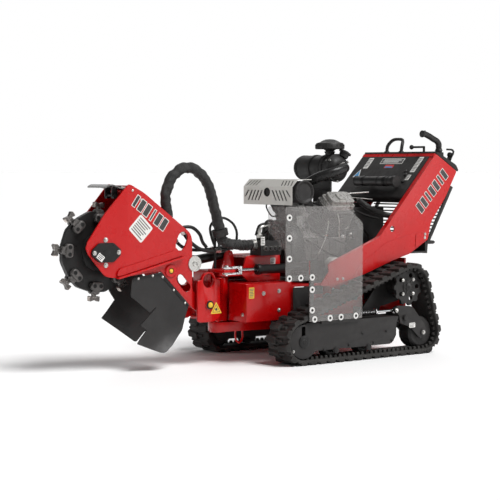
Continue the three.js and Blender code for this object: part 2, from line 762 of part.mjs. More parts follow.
// ---------------------------------------------------------------- engine, exhaust and intake
function engine() {
  const crankcase = box([-560, -250], [-140, 140], [407, 640]);
  const feet = box([-570, -240], [-170, 170], [406.5, 424]);
  const blower = bar([-150, 0, CRANK_Z], [-256, 0, CRANK_Z], 158, 24, 150);
  const cylinders = [1, -1].map((side) => {
    const geometry = new THREE.BoxGeometry(190, 150, 190).translate(-440, 0, 235);
    geometry.rotateX(-side * 0.7).translate(0, 0, CRANK_Z);
    const cover = new THREE.BoxGeometry(180, 110, 60).translate(-440, 0, 345);
    cover.rotateX(-side * 0.7).translate(0, 0, CRANK_Z);
    return join(solid(geometry), solid(cover));
  });
  const intake = box([-500, -330], [-46, 46], [630, 830]);
  const filter = bar([-450, 138, 500], [-450, 205, 500], 38, 16);
  const starter = bar([-250, -175, 480], [-440, -175, 480], 38, 14);
  const starterFoot = box([-400, -280], [-170, -120], [455, 505]);
  const filterFoot = box([-480, -420], [120, 160], [470, 530]);
  const body = join(crankcase, feet, blower, cylinders, intake, filter);
  return join(body, starter, starterFoot, filterFoot);
}

function muffler() {
  const y = [-MUFFLER.half, MUFFLER.half];
  const drum = barY(MUFFLER, MUFFLER.r, y, 18);
  const outlet = bar([MUFFLER.x + 40, -10, MUFFLER.z], [-126, -10, MUFFLER.z], 20, 14);
  const feet = [150, -150].map((side) =>
    bar([-232, side, MUFFLER.z - 20], [-332, side, 792], 16, 10),
  );
  return join(drum, outlet, feet);
}

function mufflerGuard() {
  const front = -124;
  const section = [
    [front - 20, 966, 6],
    [front, 938, 10],
    [front, 828],
    [front - 4, 828],
    [front - 4, 936, 8],
    [front - 22, 961, 6],
    [-262, 961],
    [-262, 966],
  ];
  const sheet = plateXZ(section, [-222, 206]);
  const slots = Array.from({ length: 8 }, (_, i) => i)
    .filter((i) => i !== 3 && i !== 4)
    .map((i) => {
      const y = -196 + i * 54;
      const lean = i < 4 ? 22 : -22;
      return plateYZ([[y, 848], [y + 9, 848], [y + 9 + lean, 918], [y + lean, 918]], [-140, -110]);
    });
  const outlet = bar([-150, -10, MUFFLER.z], [-100, -10, MUFFLER.z], 27, 14);
  return cut(sheet, slots, outlet);
}

function airCleaner() {
  const { x, z, r, from, to } = AIR_CLEANER;
  const drum = turnedY({ x, z }, [
    [0, from],
    [r - 10, from],
    [r, from + 10],
    [r, to - 40],
    [r - 16, to - 20],
    [34, to],
    [0, to],
  ], 16);
  const stem = bar([x, 50, z + 50], [x, 50, z + 106], 24, 12);
  const bowl = turnedZ(x, 50, [
    [0, 1120],
    [42, 1120],
    [82, 1134],
    [82, 1146],
    [56, 1160],
    [34, 1180],
    [0, 1185],
  ]);
  const bracket = plateYZ([[-90, 900], [60, 900], [60, 1000], [-90, 1000]], [x - 4, x + 4]);
  const leg = box([x - 30, x + 30], [-60, 30], [831, 910]);
  return join(drum, stem, bowl, bracket, leg);
}

function intakeHose() {
  const path = [
    [-520, 130, 1028],
    [-520, 176, 1028],
    [-488, 196, 1022],
    [-420, 190, 1004],
    [-350, 140, 974],
    [-318, 70, 930],
    [-330, 10, 880],
    [-360, 0, 845],
  ];
  return cut(pipe(path, 26, 10, 14), box([-600, -300], [-100, 100], [0, 831]));
}

function hydraulicPump() {
  const body = bar([-561, 0, CRANK_Z], [-740, 0, CRANK_Z], 58, 16);
  const block = box([-700, -600], [-60, 70], [CRANK_Z, CRANK_Z + 84]);
  const elbow = bar([-650, 60, CRANK_Z + 60], [-650, 120, CRANK_Z + 60], 18, 12);
  return join(body, block, elbow);
}

function controlValve() {
  const block = box([-96, 40], [52, 150], [562.5, 640]);
  const spools = [-76, -46, -16, 14].map((x) => bar([x, 146, 600], [x, 176, 600], 11, 10));
  const towers = [-70, -30, 10].map((x) => bar([x, 90, 636], [x, 90, 672], 13, 10));
  const outlet = bar([38, 92, 640 - 22], [62, 92, 640 - 22], 26, 14);
  return join(block, spools, towers, outlet);
}

function hydraulicTank() {
  return join(
    box([-1010, -775], [-264, -40], [560, 800]),
    bar([-900, -160, 798], [-900, -160, 826], 34, 16),
  );
}

// The fuel tank and the battery stand side by side on one tray in the rear of the frame.
function tankAndBattery() {
  const tray = box([-905, -650], [-190, 190], [236.4, 244]);
  const tank = join(
    box([-905, -650], [15, 190], [240, 470]),
    barY({ x: -700, z: 440 }, 22, [188, 202], 10),
  );
  const battery = box([-905, -695], [-190, -15], [240, 420]);
  const terminals = [-860, -740].map((x) => bar([x, -60, 418], [x, -60, 440], 10, 8));
  return join(tray, tank, battery, terminals);
}

// ---------------------------------------------------------------- console
const ARM_OUTLINE = [
  [-1092, 1108, 12],
  [-663, 646, 20],
  [-328, 520, 10],
  [-296, 512, 8],
  [-300, 470],
  [-240, 400, 8],
  [-330, 392, 8],
  [-560, 450],
  [-757, 514],
  [-889, 547],
  [-1032, 624, 10],
  [-1054, 722],
  [-1165, 855],
  [-1257, 1009, 12],
];

function sideArm() {
  const outer = CONSOLE_HALF;
  const plate = plateXZ(ARM_OUTLINE, [outer - ARM_PLATE, outer], [roundHole(-760, 690, 17)]);
  const frontFlange = plateXZ(
    [[-1090, 1106], [-663, 644], [-328, 518], [-331, 508], [-667, 634], [-1096, 1098]],
    [outer - 34, outer - 2],
  );
  const rearFlange = plateXZ(
    [
      [-1257, 1006], [-1165, 855], [-1054, 722], [-1031, 640],
      [-1023, 644], [-1046, 727], [-1158, 860], [-1248, 1010],
    ],
    [outer - 30, outer - 2],
  );
  const base = join(
    box([-470, -340], [HALF_FRAME + GAP, 262], [340, 450]),
    box([-470, -340], [HALF_FRAME + GAP, outer - 2], [424, 450]),
  );
  return join(plate, frontFlange, rearFlange, base);
}

function consolePanel() {
  const half = CONSOLE_HALF - 34 - GAP;
  const shell = plateXZ(
    [
      [-1084, 1100, 6],
      [-862, 862, 6],
      [-900, 832, 6],
      [-1000, 860, 10],
      [-1210, 1010, 6],
      [-1236, 1002, 4],
    ],
    [-half, half],
  );
  const hollow = plateXZ(
    [[-1084, 1090], [-880, 874], [-904, 846], [-996, 870], [-1198, 1010]],
    [6 - half, half - 6],
  );
  const mouth = box([-1100, -900], [-100, 100], [820, 900]);
  return cut(shell, hollow, mouth);
}

function consoleCover() {
  const half = CONSOLE_HALF - 2;
  const slab = plateXZ(
    [
      [-1092, 1112, 3],
      [-1098, 1124, 6],
      [-1258, 1046, 16],
      [-1272, 1020, 8],
      [-1270, 1008, 3],
      [-1262, 1012, 3],
    ],
    [-half, half],
  );
  const { x, y, z } = JOYSTICK;
  const cup = cut(
    bar([x, y, 1078], [x, y, z - 8], 28, 20),
    solid(new THREE.SphereGeometry(22, 12, 8).translate(x, y, z)),
  );
  return join(slab, cup);
}

function rearGuard() {
  const half = 284;
  const frameSides = [[half - 12, half], [-half, 12 - half]].map((y) =>
    plateXZ([[-1222, 930], [-1250, 918], [-1060, 598], [-1032, 600]], y),
  );
  const slats = Array.from({ length: 7 }, (_, i) => {
    const t = i / 6;
    const x = -1241 + t * 172;
    const z = 904 - t * 278;
    return plateXZ([[x, z], [x + 26, z + 6], [x + 24, z + 12], [x - 2, z + 6]], [2 - half, half - 2]);
  });
  const pan = box([-1045, -770], [-half, half], [548, 558]);
  const panRear = plateXZ([[-1057, 611], [-1051, 545], [-1036, 545], [-1034, 611]], [3 - half, half - 3]);
  const ring = pipe(
    [
      [-1046, 262, 604], [-1112, 262, 604], [-1142, 225, 604],
      [-1142, 175, 604], [-1112, 138, 604], [-1046, 138, 604],
    ],
    9,
    8,
    14,
  );
  return join(frameSides, slats, pan, panRear, ring);
}

function documentTube() {
  const tube = barY({ x: -880, z: 953 }, 28, [-133, 196]);
  const cap = barY({ x: -880, z: 953 }, 31, [180, 206]);
  const straps = [-80, 130].map((y) => box([-950, -886], [y, y + 16], [938, 968]));
  const panelSide = plateXZ([[-1083.5, 1100.5], [-861.5, 862.5], [-1300, 600]], [-300, 300]);
  return cut(join(tube, cap, straps), panelSide);
}

function hoopHandle() {
  const [near, far] = [-2, -125];
  const foot = 1123.6;
  const up = [[-1110, far, foot], [-1116, far, 1156], [-1138, far + 18, 1190]];
  const down = [[-1138, near - 18, 1190], [-1116, near, 1156], [-1110, near, foot]];
  return pipe([...up, [-1142, (near + far) / 2, 1197], ...down], 10, 6, 16);
}

function joystickGimbal() {
  const { x, y, z } = JOYSTICK;
  return solid(new THREE.SphereGeometry(20, 12, 8).translate(x, y, z));
}

function joystick() {
  const { x, y, z } = JOYSTICK;
  const neck = bar([x, y, z + 22], [x + 2, y, z + 44], 8, 10);
  const grip = pipe(
    [[x + 2, y, z + 38], [x + 22, y, z + 56], [x + 68, y, z + 84], [x + 100, y, z + 96]],
    18,
    8,
    6,
  );
  const nose = bar([x + 96, y, z + 97], [x + 136, y, z + 88], 20, 10, 15);
  return join(neck, grip, nose);
}

function travelLever() {
  const post = bar([-1112, 186, 1121.4], [-1112, 186, 1152], 7, 10);
  const arm = bar([-1112, 190, 1148], [-1104, 96, 1148], 6, 10);
  const knob = solid(new THREE.SphereGeometry(13, 8, 6).translate(-1104, 92, 1148));
  return join(post, arm, knob);
}

function throttleLever() {
  return pipe(
    [[-1226, 282, 1070], [-1240, 282, 1096], [-1254, 282, 1118], [-1246, 282, 1130], [-1200, 282, 1134]],
    6,
    6,
    10,
  );
}

// ---------------------------------------------------------------- shields and hoses
function shield() {
  const sheet = plateXZ(
    [
      [-405, 229, 8],
      [-42, 229, 8],
      [-42, 447],
      [116.7, 447],
      [116.7, 829],
      [-296, 829, 12],
      [-408, 734, 12],
    ],
    SHIELD,
  );
  const wing = plateYZ([[SHIELD[1], 829], [308, 829, 12], [308, 700, 20], [SHIELD[1], 600]], [112.5, 116.7]);
  return join(sheet, wing);
}

// The hose bundle's line, from the cutter head over to the clamp, and on to the control valve.
const HOSE_UPPER = [
  [570, 52, 772],
  [582, 53, 830],
  [584, 56, 900],
  [556, 62, 975],
  [500, 69, 1020],
  [440, 76, 1026],
  [388, 81, 1000],
  [345, 86, 950],
  [316, 88, 870],
  [296, 89, 800],
  [276, 90, 735],
  [266, 90, 688],
];
const HOSE_LOWER = [
  [264.5, 90, 684],
  [261, 90, 670],
  [249, 90, 650],
  [226, 91, 634],
  [186, 92, 624],
  [130, 92, 620],
  [63, 92, 618],
];

// ---------------------------------------------------------------- the assembly
add("main_frame", mainFrame(), RED);
add("front_box", frontBox(), RED);
add("frame_neck", frameNeck(), RED);
add("track_frame_left", trackFrame(true), BLACK);
add("track_frame_right", mirrored(trackFrame(false)), BLACK);
addPair("track_belt", trackBelt(), RUBBER);
addPair("front_idler", idlerWheel(FRONT_IDLER, 20.8), BLACK);
addPair("rear_idler", idlerWheel(REAR_WHEEL, 20.8), BLACK);
addPair("front_roller", roller(-240), BLACK);
addPair("rear_roller", roller(-470), BLACK);
addPair("drive_sprocket", sprocket(), BLACK);
addPair("drive_motor", driveMotor(), BLACK);
addPair("tensioner_arm", tensionerArm(), BLACK);
addPair("tension_rod", tensionRod(), CHROME);
addPair("tension_spring", tensionSpring(), BLACK);
addPair("side_arm", sideArm(), RED);
add("shield", shield(), CLEAR);
add("console_panel", consolePanel(), BLACK);
add("console_cover", consoleCover(), BLACK);
add("rear_guard", rearGuard(), BLACK);
add("document_tube", documentTube(), BLACK);
add("hoop_handle", hoopHandle(), BLACK);
add("joystick_gimbal", joystickGimbal(), BLACK);
add("joystick", joystick(), BLACK);
add("travel_lever", travelLever(), BLACK);
add("throttle_lever", throttleLever(), BLACK);
add("engine", engine(), CASTING);
add("muffler", muffler(), BLACK);
add("muffler_guard", mufflerGuard(), STEEL);
add("air_cleaner", join(airCleaner(), intakeHose()), BLACK);
add("hydraulic_pump", hydraulicPump(), BLACK);
add("control_valve", controlValve(), CASTING);
add("hydraulic_tank", hydraulicTank(), BLACK);
add("tank_and_battery", tankAndBattery(), BLACK);
add("swing_frame", swingFrame(), RED);
add("hose_clamp", hoseClamp(), BLACK);
add("swing_barrel", swingBarrel(), BLACK);
add("swing_rod", swingRod(), CHROME);
add("cutter_head", cutterHead(), RED);
add("cutter_wheel", cutterWheel(), TOOTH);
add("cutter_motor", cutterMotor(), BLACK);
add("hub_cover", hubCover(), BLACK);
add("deflector", deflector(), RUBBER);
add("chip_flap_left", chipFlap([HEAD_HALF + GAP, HEAD_HALF + 6], NEAR_FLAP), RUBBER);
add("chip_flap_right", chipFlap([-HEAD_HALF - 6, -HEAD_HALF - GAP], FAR_FLAP), RUBBER);
add("lift_barrel", liftBarrel(), BLACK);
add("lift_rod", liftRod(), CHROME);
add("hose_upper", pipe(HOSE_UPPER, 32, 8, 16), RUBBER);
add("hose_lower", pipe(HOSE_LOWER, 32, 8, 8), RUBBER);

export default machine;
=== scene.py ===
import math
import random

import bmesh
import bpy
from mathutils import Matrix, Vector, noise
from mathutils.geometry import tessellate_polygon


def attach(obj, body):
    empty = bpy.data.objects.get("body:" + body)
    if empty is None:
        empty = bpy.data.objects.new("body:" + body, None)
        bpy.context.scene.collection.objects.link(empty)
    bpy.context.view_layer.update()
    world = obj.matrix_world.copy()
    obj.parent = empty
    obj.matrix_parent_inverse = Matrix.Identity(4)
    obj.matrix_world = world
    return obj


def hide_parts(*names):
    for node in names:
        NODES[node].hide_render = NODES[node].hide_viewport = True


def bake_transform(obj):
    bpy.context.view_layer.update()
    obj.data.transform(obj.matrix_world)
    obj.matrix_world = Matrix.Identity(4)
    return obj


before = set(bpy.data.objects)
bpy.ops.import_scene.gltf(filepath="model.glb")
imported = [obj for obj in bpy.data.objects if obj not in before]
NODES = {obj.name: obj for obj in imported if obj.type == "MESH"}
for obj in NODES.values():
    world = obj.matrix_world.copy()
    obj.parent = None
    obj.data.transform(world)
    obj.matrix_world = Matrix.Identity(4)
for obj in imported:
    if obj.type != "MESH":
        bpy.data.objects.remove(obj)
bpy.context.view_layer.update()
SIDES = {"left": 1, "right": -1}
random.seed(7)

MM = 0.001
DATUM = 28 * MM  # the frame's origin is this far in front of the datum that the sizes below run from
UP = Vector((0, 0, 1))
ALONG = Vector((1, 0, 0))
ACROSS = Vector((0, 1, 0))


def at(x, y, z):
    """A point of the machine, given in millimetres from its datum."""
    return Vector((x * MM + DATUM, y * MM, z * MM))


# ---------------------------------------------------------------- materials
class Surface:
    """A Principled material whose colour, roughness and relief come from noise."""

    def __init__(self, name, colour, roughness, metallic=0.0, **sockets):
        self.material = bpy.data.materials.new(name)
        self.material.use_nodes = True
        self.material.diffuse_color = (*colour, 1.0)
        self.tree = self.material.node_tree
        self.shader = self.tree.nodes["Principled BSDF"]
        self.shader.inputs["Base Color"].default_value = (*colour, 1.0)
        self.shader.inputs["Roughness"].default_value = roughness
        self.shader.inputs["Metallic"].default_value = metallic
        for socket, value in sockets.items():
            self.shader.inputs[socket.replace("_", " ")].default_value = value
        self.place = self.tree.nodes.new("ShaderNodeTexCoord").outputs["Object"]
        self.relief = None

    def noise(self, scale, detail=4.0, roughness=0.55, stretch=None, distortion=0.0):
        made = self.tree.nodes.new("ShaderNodeTexNoise")
        made.inputs["Scale"].default_value = scale
        made.inputs["Detail"].default_value = detail
        made.inputs["Roughness"].default_value = roughness
        made.inputs["Distortion"].default_value = distortion
        self.tree.links.new(self.stretched(stretch), made.inputs["Vector"])
        return made.outputs["Fac"]

    def cells(self, scale, stretch=None):
        made = self.tree.nodes.new("ShaderNodeTexVoronoi")
        made.inputs["Scale"].default_value = scale
        self.tree.links.new(self.stretched(stretch), made.inputs["Vector"])
        return made.outputs["Distance"]

    def stretched(self, stretch):
        if stretch is None:
            return self.place
        mapping = self.tree.nodes.new("ShaderNodeMapping")
        mapping.inputs["Scale"].default_value = stretch
        self.tree.links.new(self.place, mapping.inputs["Vector"])
        return mapping.outputs["Vector"]

    def weave(self, around, along):
        """Threads over and under each other, laid out by the mesh's own UV map."""
        uv = self.tree.nodes.new("ShaderNodeTexCoord").outputs["UV"]
        waves = []
        for axis, count in (("X", around), ("Y", along)):
            wave = self.tree.nodes.new("ShaderNodeTexWave")
            wave.bands_direction = axis
            wave.inputs["Scale"].default_value = count
            self.tree.links.new(uv, wave.inputs["Vector"])
            waves.append(wave.outputs["Fac"])
        return self.blend_values("MULTIPLY", *waves)

    def blend_values(self, operation, first, second):
        made = self.tree.nodes.new("ShaderNodeMath")
        made.operation = operation
        for socket, value in zip(made.inputs, (first, second)):
            if isinstance(value, float):
                socket.default_value = value
            else:
                self.tree.links.new(value, socket)
        return made.outputs["Value"]

    def spread(self, factor, low, high, to_low=0.0, to_high=1.0):
        made = self.tree.nodes.new("ShaderNodeMapRange")
        values = (low, high, to_low, to_high)
        for socket, value in zip(("From Min", "From Max", "To Min", "To Max"), values):
            made.inputs[socket].default_value = value
        self.tree.links.new(factor, made.inputs["Value"])
        return made.outputs["Result"]

    def tint(self, factor, colour, low=0.45, high=0.7, share=1.0):
        """Another colour laid over what is there, where factor is high."""
        mix = self.tree.nodes.new("ShaderNodeMix")
        mix.data_type = "RGBA"
        base = self.shader.inputs["Base Color"]
        if base.is_linked:
            self.tree.links.new(base.links[0].from_socket, mix.inputs["A"])
        else:
            mix.inputs["A"].default_value = base.default_value
        mix.inputs["B"].default_value = (*colour, 1.0)
        self.tree.links.new(self.spread(factor, low, high, 0.0, share), mix.inputs["Factor"])
        self.tree.links.new(mix.outputs["Result"], base)
        return self

    def rough(self, factor, low, high):
        self.tree.links.new(self.spread(factor, 0.3, 0.7, low, high), self.shader.inputs["Roughness"])
        return self

    def bump(self, factor, distance, strength=1.0):
        made = self.tree.nodes.new("ShaderNodeBump")
        made.inputs["Strength"].default_value = strength
        made.inputs["Distance"].default_value = distance
        self.tree.links.new(factor, made.inputs["Height"])
        if self.relief:
            self.tree.links.new(self.relief, made.inputs["Normal"])
        self.relief = made.outputs["Normal"]
        self.tree.links.new(self.relief, self.shader.inputs["Normal"])
        return self

    def worn_edges(self, colour, width, share=0.7):
        """Edges rubbed to another colour: where a rounded normal leaves the true one."""
        rounded = self.tree.nodes.new("ShaderNodeBevel")
        rounded.samples = 3
        rounded.inputs["Radius"].default_value = width
        true = self.tree.nodes.new("ShaderNodeNewGeometry").outputs["Normal"]
        dot = self.tree.nodes.new("ShaderNodeVectorMath")
        dot.operation = "DOT_PRODUCT"
        self.tree.links.new(rounded.outputs["Normal"], dot.inputs[0])
        self.tree.links.new(true, dot.inputs[1])
        edge = self.blend_values("SUBTRACT", 1.0, dot.outputs["Value"])
        patchy = self.blend_values("MULTIPLY", edge, self.noise(60, 5))
        return self.tint(patchy, colour, 0.03, 0.14, share)


def red_paint():
    made = Surface(
        "red_paint", (0.50, 0.0018, 0.0025), 0.34, Specular_IOR_Level=0.2, Coat_Weight=0.5,
        Coat_Roughness=0.14
    )
    made.tint(made.noise(7, 5), (0.40, 0.001, 0.0016), 0.5, 0.8, 0.6)
    made.tint(made.noise(140, 3), (0.55, 0.010, 0.008), 0.64, 0.82, 0.3)
    made.worn_edges((0.55, 0.05, 0.045), 0.003, 0.6)
    made.rough(made.noise(18, 5), 0.22, 0.38)
    return made.bump(made.noise(420, 2), 0.00012, 0.5).material


def black_paint(name="black_steel", colour=(0.022, 0.0205, 0.0200), roughness=0.42):
    made = Surface(name, colour, roughness, Specular_IOR_Level=0.3)
    made.tint(made.noise(9, 5), tuple(c * 1.8 + 0.002 for c in colour), 0.48, 0.8, 0.7)
    made.worn_edges((0.06, 0.058, 0.056), 0.002, 0.6)
    made.rough(made.noise(30, 5), roughness - 0.08, roughness + 0.14)
    return made.bump(made.noise(900, 2), 0.00015, 0.6).material


def cast_black():
    made = Surface("cast_black", (0.020, 0.0188, 0.0182), 0.5, Specular_IOR_Level=0.35)
    made.tint(made.noise(24, 6), (0.042, 0.039, 0.0375), 0.5, 0.78, 0.7)
    made.worn_edges((0.15, 0.145, 0.14), 0.003, 0.6)
    made.rough(made.noise(40, 4), 0.38, 0.66)
    return made.bump(made.noise(260, 5), 0.0006, 0.7).material


def track_rubber():
    made = Surface("track_rubber", (0.024, 0.0225, 0.0215), 0.66, Specular_IOR_Level=0.3)
    made.tint(made.noise(13, 6), (0.045, 0.0425, 0.040), 0.45, 0.75, 0.8)
    made.tint(made.noise(90, 6), (0.085, 0.08, 0.075), 0.62, 0.8, 0.5)
    made.worn_edges((0.10, 0.094, 0.088), 0.005, 0.55)
    made.rough(made.noise(22, 4), 0.58, 0.86)
    made.bump(made.noise(300, 5), 0.0007, 0.7)
    return made.bump(made.cells(120), 0.0004, 0.4).material


def flap_rubber():
    made = Surface("flap_rubber", (0.014, 0.0128, 0.0125), 0.40, Specular_IOR_Level=0.45)
    made.tint(made.noise(5, 4, distortion=0.6), (0.026, 0.024, 0.023), 0.42, 0.8, 0.6)
    made.tint(made.noise(60, 5, stretch=(1, 1, 0.25)), (0.09, 0.085, 0.08), 0.68, 0.85, 0.4)
    made.rough(made.noise(11, 5), 0.36, 0.6)
    made.bump(made.noise(14, 2), 0.004, 0.5)
    return made.bump(made.noise(380, 3), 0.0003, 0.5).material


def hose_rubber():
    made = Surface("hose_rubber", (0.013, 0.0125, 0.012), 0.4, Specular_IOR_Level=0.35)
    made.tint(made.noise(40, 4), (0.02, 0.0195, 0.019), 0.5, 0.8, 0.6)
    made.rough(made.noise(50, 4), 0.32, 0.55)
    return made.bump(made.noise(700, 2), 0.0002, 0.5).material


def sleeve_fabric():
    made = Surface("sleeve_fabric", (0.010, 0.0096, 0.0094), 0.55, Sheen_Weight=0.12, Sheen_Roughness=0.4)
    made.tint(made.noise(22, 5), (0.022, 0.021, 0.020), 0.45, 0.75, 0.7)
    threads = made.weave(26, 150)
    made.tint(threads, (0.035, 0.034, 0.032), 0.3, 0.9, 0.5)
    made.rough(made.noise(30, 3), 0.5, 0.75)
    made.bump(threads, 0.0008, 0.6)
    return made.bump(made.noise(60, 4), 0.002, 0.6).material


def zinc():
    made = Surface("zinc", (0.62, 0.61, 0.585), 0.28, 0.92)
    made.tint(made.noise(120, 4), (0.45, 0.43, 0.39), 0.5, 0.8, 0.6)
    made.rough(made.noise(160, 3), 0.2, 0.42)
    return made.bump(made.noise(500, 2), 0.0002, 0.4).material


def chrome():
    made = Surface("chrome_rod", (0.8, 0.8, 0.81), 0.08, 1.0)
    made.tint(made.noise(60, 5, stretch=(0.2, 3, 3)), (0.6, 0.59, 0.58), 0.55, 0.8, 0.5)
    made.rough(made.noise(90, 5), 0.05, 0.18)
    return made.bump(made.noise(300, 2, stretch=(0.1, 4, 4)), 0.00005, 0.4).material


def casting():
    made = Surface("engine_casting", (0.15, 0.145, 0.138), 0.40, 0.35)
    made.tint(made.noise(20, 6), (0.06, 0.058, 0.055), 0.42, 0.72, 0.7)
    made.tint(made.noise(6, 4), (0.04, 0.038, 0.036), 0.52, 0.78, 0.6)
    made.worn_edges((0.5, 0.49, 0.48), 0.0025, 0.8)
    made.rough(made.noise(45, 4), 0.36, 0.62)
    return made.bump(made.noise(420, 4), 0.0006, 0.7).material


def bright_casting():
    made = Surface("bright_casting", (0.46, 0.45, 0.43), 0.28, 0.45)
    made.tint(made.noise(30, 5), (0.2, 0.19, 0.18), 0.45, 0.78, 0.6)
    made.rough(made.noise(50, 4), 0.18, 0.4)
    return made.bump(made.noise(260, 4), 0.0004, 0.6).material


def guard_steel():
    made = Surface("guard_steel", (0.64, 0.625, 0.59), 0.36, 0.35)
    made.tint(made.noise(10, 5), (0.55, 0.53, 0.49), 0.5, 0.8, 0.7)
    made.tint(made.noise(70, 5), (0.45, 0.42, 0.38), 0.66, 0.82, 0.5)
    made.rough(made.noise(20, 5), 0.28, 0.48)
    return made.bump(made.noise(300, 3), 0.0002, 0.5).material


def tooth_steel():
    made = Surface("tooth_steel", (0.16, 0.148, 0.14), 0.36, 0.9)
    made.tint(made.noise(70, 5), (0.06, 0.056, 0.053), 0.45, 0.7, 0.8)
    made.worn_edges((0.6, 0.57, 0.54), 0.003, 0.85)
    made.rough(made.noise(80, 4), 0.26, 0.5)
    return made.bump(made.noise(240, 4), 0.0006, 0.7).material


def carbide():
    made = Surface("carbide", (0.50, 0.44, 0.40), 0.24, 0.95)
    made.tint(made.noise(150, 4), (0.75, 0.7, 0.66), 0.5, 0.75, 0.7)
    return made.bump(made.noise(400, 3), 0.0004, 0.5).material


def moulded(name="moulded_plastic", colour=(0.020, 0.0192, 0.0188), roughness=0.44):
    made = Surface(name, colour, roughness, Specular_IOR_Level=0.35)
    made.tint(made.noise(26, 4), tuple(c * 1.7 + 0.003 for c in colour), 0.5, 0.8, 0.6)
    made.rough(made.noise(40, 4), roughness - 0.07, roughness + 0.12)
    return made.bump(made.noise(1100, 2), 0.0002, 0.7).material


def clear_sheet():
    made = Surface("clear_sheet", (0.34, 0.325, 0.315), 0.12, Alpha=0.25, IOR=1.5, Specular_IOR_Level=0.4)
    made.tint(made.noise(4, 4), (0.42, 0.405, 0.395), 0.45, 0.8, 0.6)
    made.rough(made.noise(9, 5), 0.06, 0.2)
    made.material.surface_render_method = "DITHERED"
    return made.bump(made.noise(3, 2), 0.004, 0.25).material


def label_paper(name, colour):
    made = Surface(name, colour, 0.35, Coat_Weight=0.4)
    made.tint(made.noise(90, 4), tuple(c * 0.78 for c in colour), 0.55, 0.85, 0.6)
    made.rough(made.noise(70, 3), 0.26, 0.45)
    return made.bump(made.noise(300, 2), 0.0001, 0.3).material


def cast_pocket():
    made = Surface("pocket_steel", (0.095, 0.089, 0.086), 0.38, 0.6)
    made.tint(made.noise(60, 5), (0.19, 0.18, 0.172), 0.45, 0.75, 0.7)
    made.worn_edges((0.4, 0.38, 0.36), 0.003, 0.7)
    made.rough(made.noise(60, 4), 0.3, 0.52)
    return made.bump(made.noise(240, 4), 0.0005, 0.7).material


def lip_rubber():
    made = Surface("lip_rubber", (0.10, 0.098, 0.095), 0.3, Coat_Weight=0.5, Coat_Roughness=0.2)
    made.tint(made.noise(14, 4), (0.16, 0.155, 0.15), 0.45, 0.78, 0.6)
    made.rough(made.noise(20, 4), 0.22, 0.4)
    return made.bump(made.noise(220, 3), 0.0003, 0.5).material


def floor_white():
    made = Surface("floor", (0.97, 0.97, 0.97), 0.7, Specular_IOR_Level=0.1)
    made.tint(made.noise(1.5, 3), (0.955, 0.955, 0.955), 0.4, 0.8, 0.5)
    return made.bump(made.noise(40, 2), 0.0005, 0.1).material


RED = red_paint()
BLACK = black_paint()
DARK = black_paint("dark_satin", (0.010, 0.0096, 0.0094), 0.34)
CAST = cast_black()
TRACK = track_rubber()
FLAP = flap_rubber()
HOSE = hose_rubber()
SLEEVE = sleeve_fabric()
ZINC = zinc()
CHROME = chrome()
CASTING = casting()
BRIGHT = bright_casting()
GUARD = guard_steel()
TOOTH = tooth_steel()
CARBIDE = carbide()
PLASTIC = moulded()
GREY_PLASTIC = moulded("grey_plastic", (0.07, 0.068, 0.066), 0.4)
CLEAR = clear_sheet()
WHITE = label_paper("label_white", (0.78, 0.77, 0.74))
YELLOW = label_paper("label_yellow", (0.80, 0.52, 0.03))
BLUE = label_paper("label_blue", (0.05, 0.30, 0.60))
SIGNAL = label_paper("label_red", (0.60, 0.03, 0.03))
INK = label_paper("label_ink", (0.02, 0.02, 0.02))
SLATE = label_paper("label_slate", (0.09, 0.085, 0.085))
CAST_STEEL = cast_pocket()
INK_STEEL = black_paint("blackened_steel", (0.006, 0.006, 0.006), 0.5)
WHITE_STEEL = label_paper("white_washer", (0.72, 0.71, 0.69))
HOSE_SMOOTH = moulded("smooth_hose", (0.010, 0.0096, 0.0094), 0.28)
LIP = lip_rubber()

# The CAD slot that each material belongs to, unless a piece says otherwise.
SLOTS = {
    "red_paint": (RED,),
    "black_steel": (BLACK, DARK, CAST, INK_STEEL),
    "rubber": (TRACK, FLAP, HOSE, SLEEVE, LIP, HOSE_SMOOTH),
    "guard_steel": (ZINC, GUARD, WHITE_STEEL),
    "chrome_rod": (CHROME,),
    "casting": (CASTING, BRIGHT),
    "wheel_steel": (TOOTH, CARBIDE, CAST_STEEL),
    "clear_plastic": (CLEAR,),
    "black_plastic": (PLASTIC, GREY_PLASTIC, WHITE, YELLOW, BLUE, SIGNAL, INK, SLATE),
}


# ---------------------------------------------------------------- mesh making
HARD_ANGLE = 0.6  # radians between two faces, past which their edge is rounded
DOUBLE = 2e-5  # metres within which a CAD solid's corners are one
FLAT_ANGLE = math.radians(0.5)


def round_edges(shape, width, clamp, shortest=-1.0):
    """Rounds the hard edges that are longer than shortest, all in metres."""
    hard = [
        e for e in shape.edges
        if len(e.link_faces) == 2 and e.calc_face_angle(0) > HARD_ANGLE and e.calc_length() > shortest
    ]
    bmesh.ops.bevel(
        shape, geom=hard, offset=width, segments=2, profile=0.6, affect="EDGES", clamp_overlap=clamp
    )


def cad_shape(node):
    """A CAD solid with its flat faces made whole again."""
    shape = bmesh.new()
    shape.from_mesh(NODES[node].data)
    bmesh.ops.remove_doubles(shape, verts=shape.verts, dist=DOUBLE)
    bmesh.ops.dissolve_limit(shape, angle_limit=FLAT_ANGLE, verts=shape.verts, edges=shape.edges)
    return shape


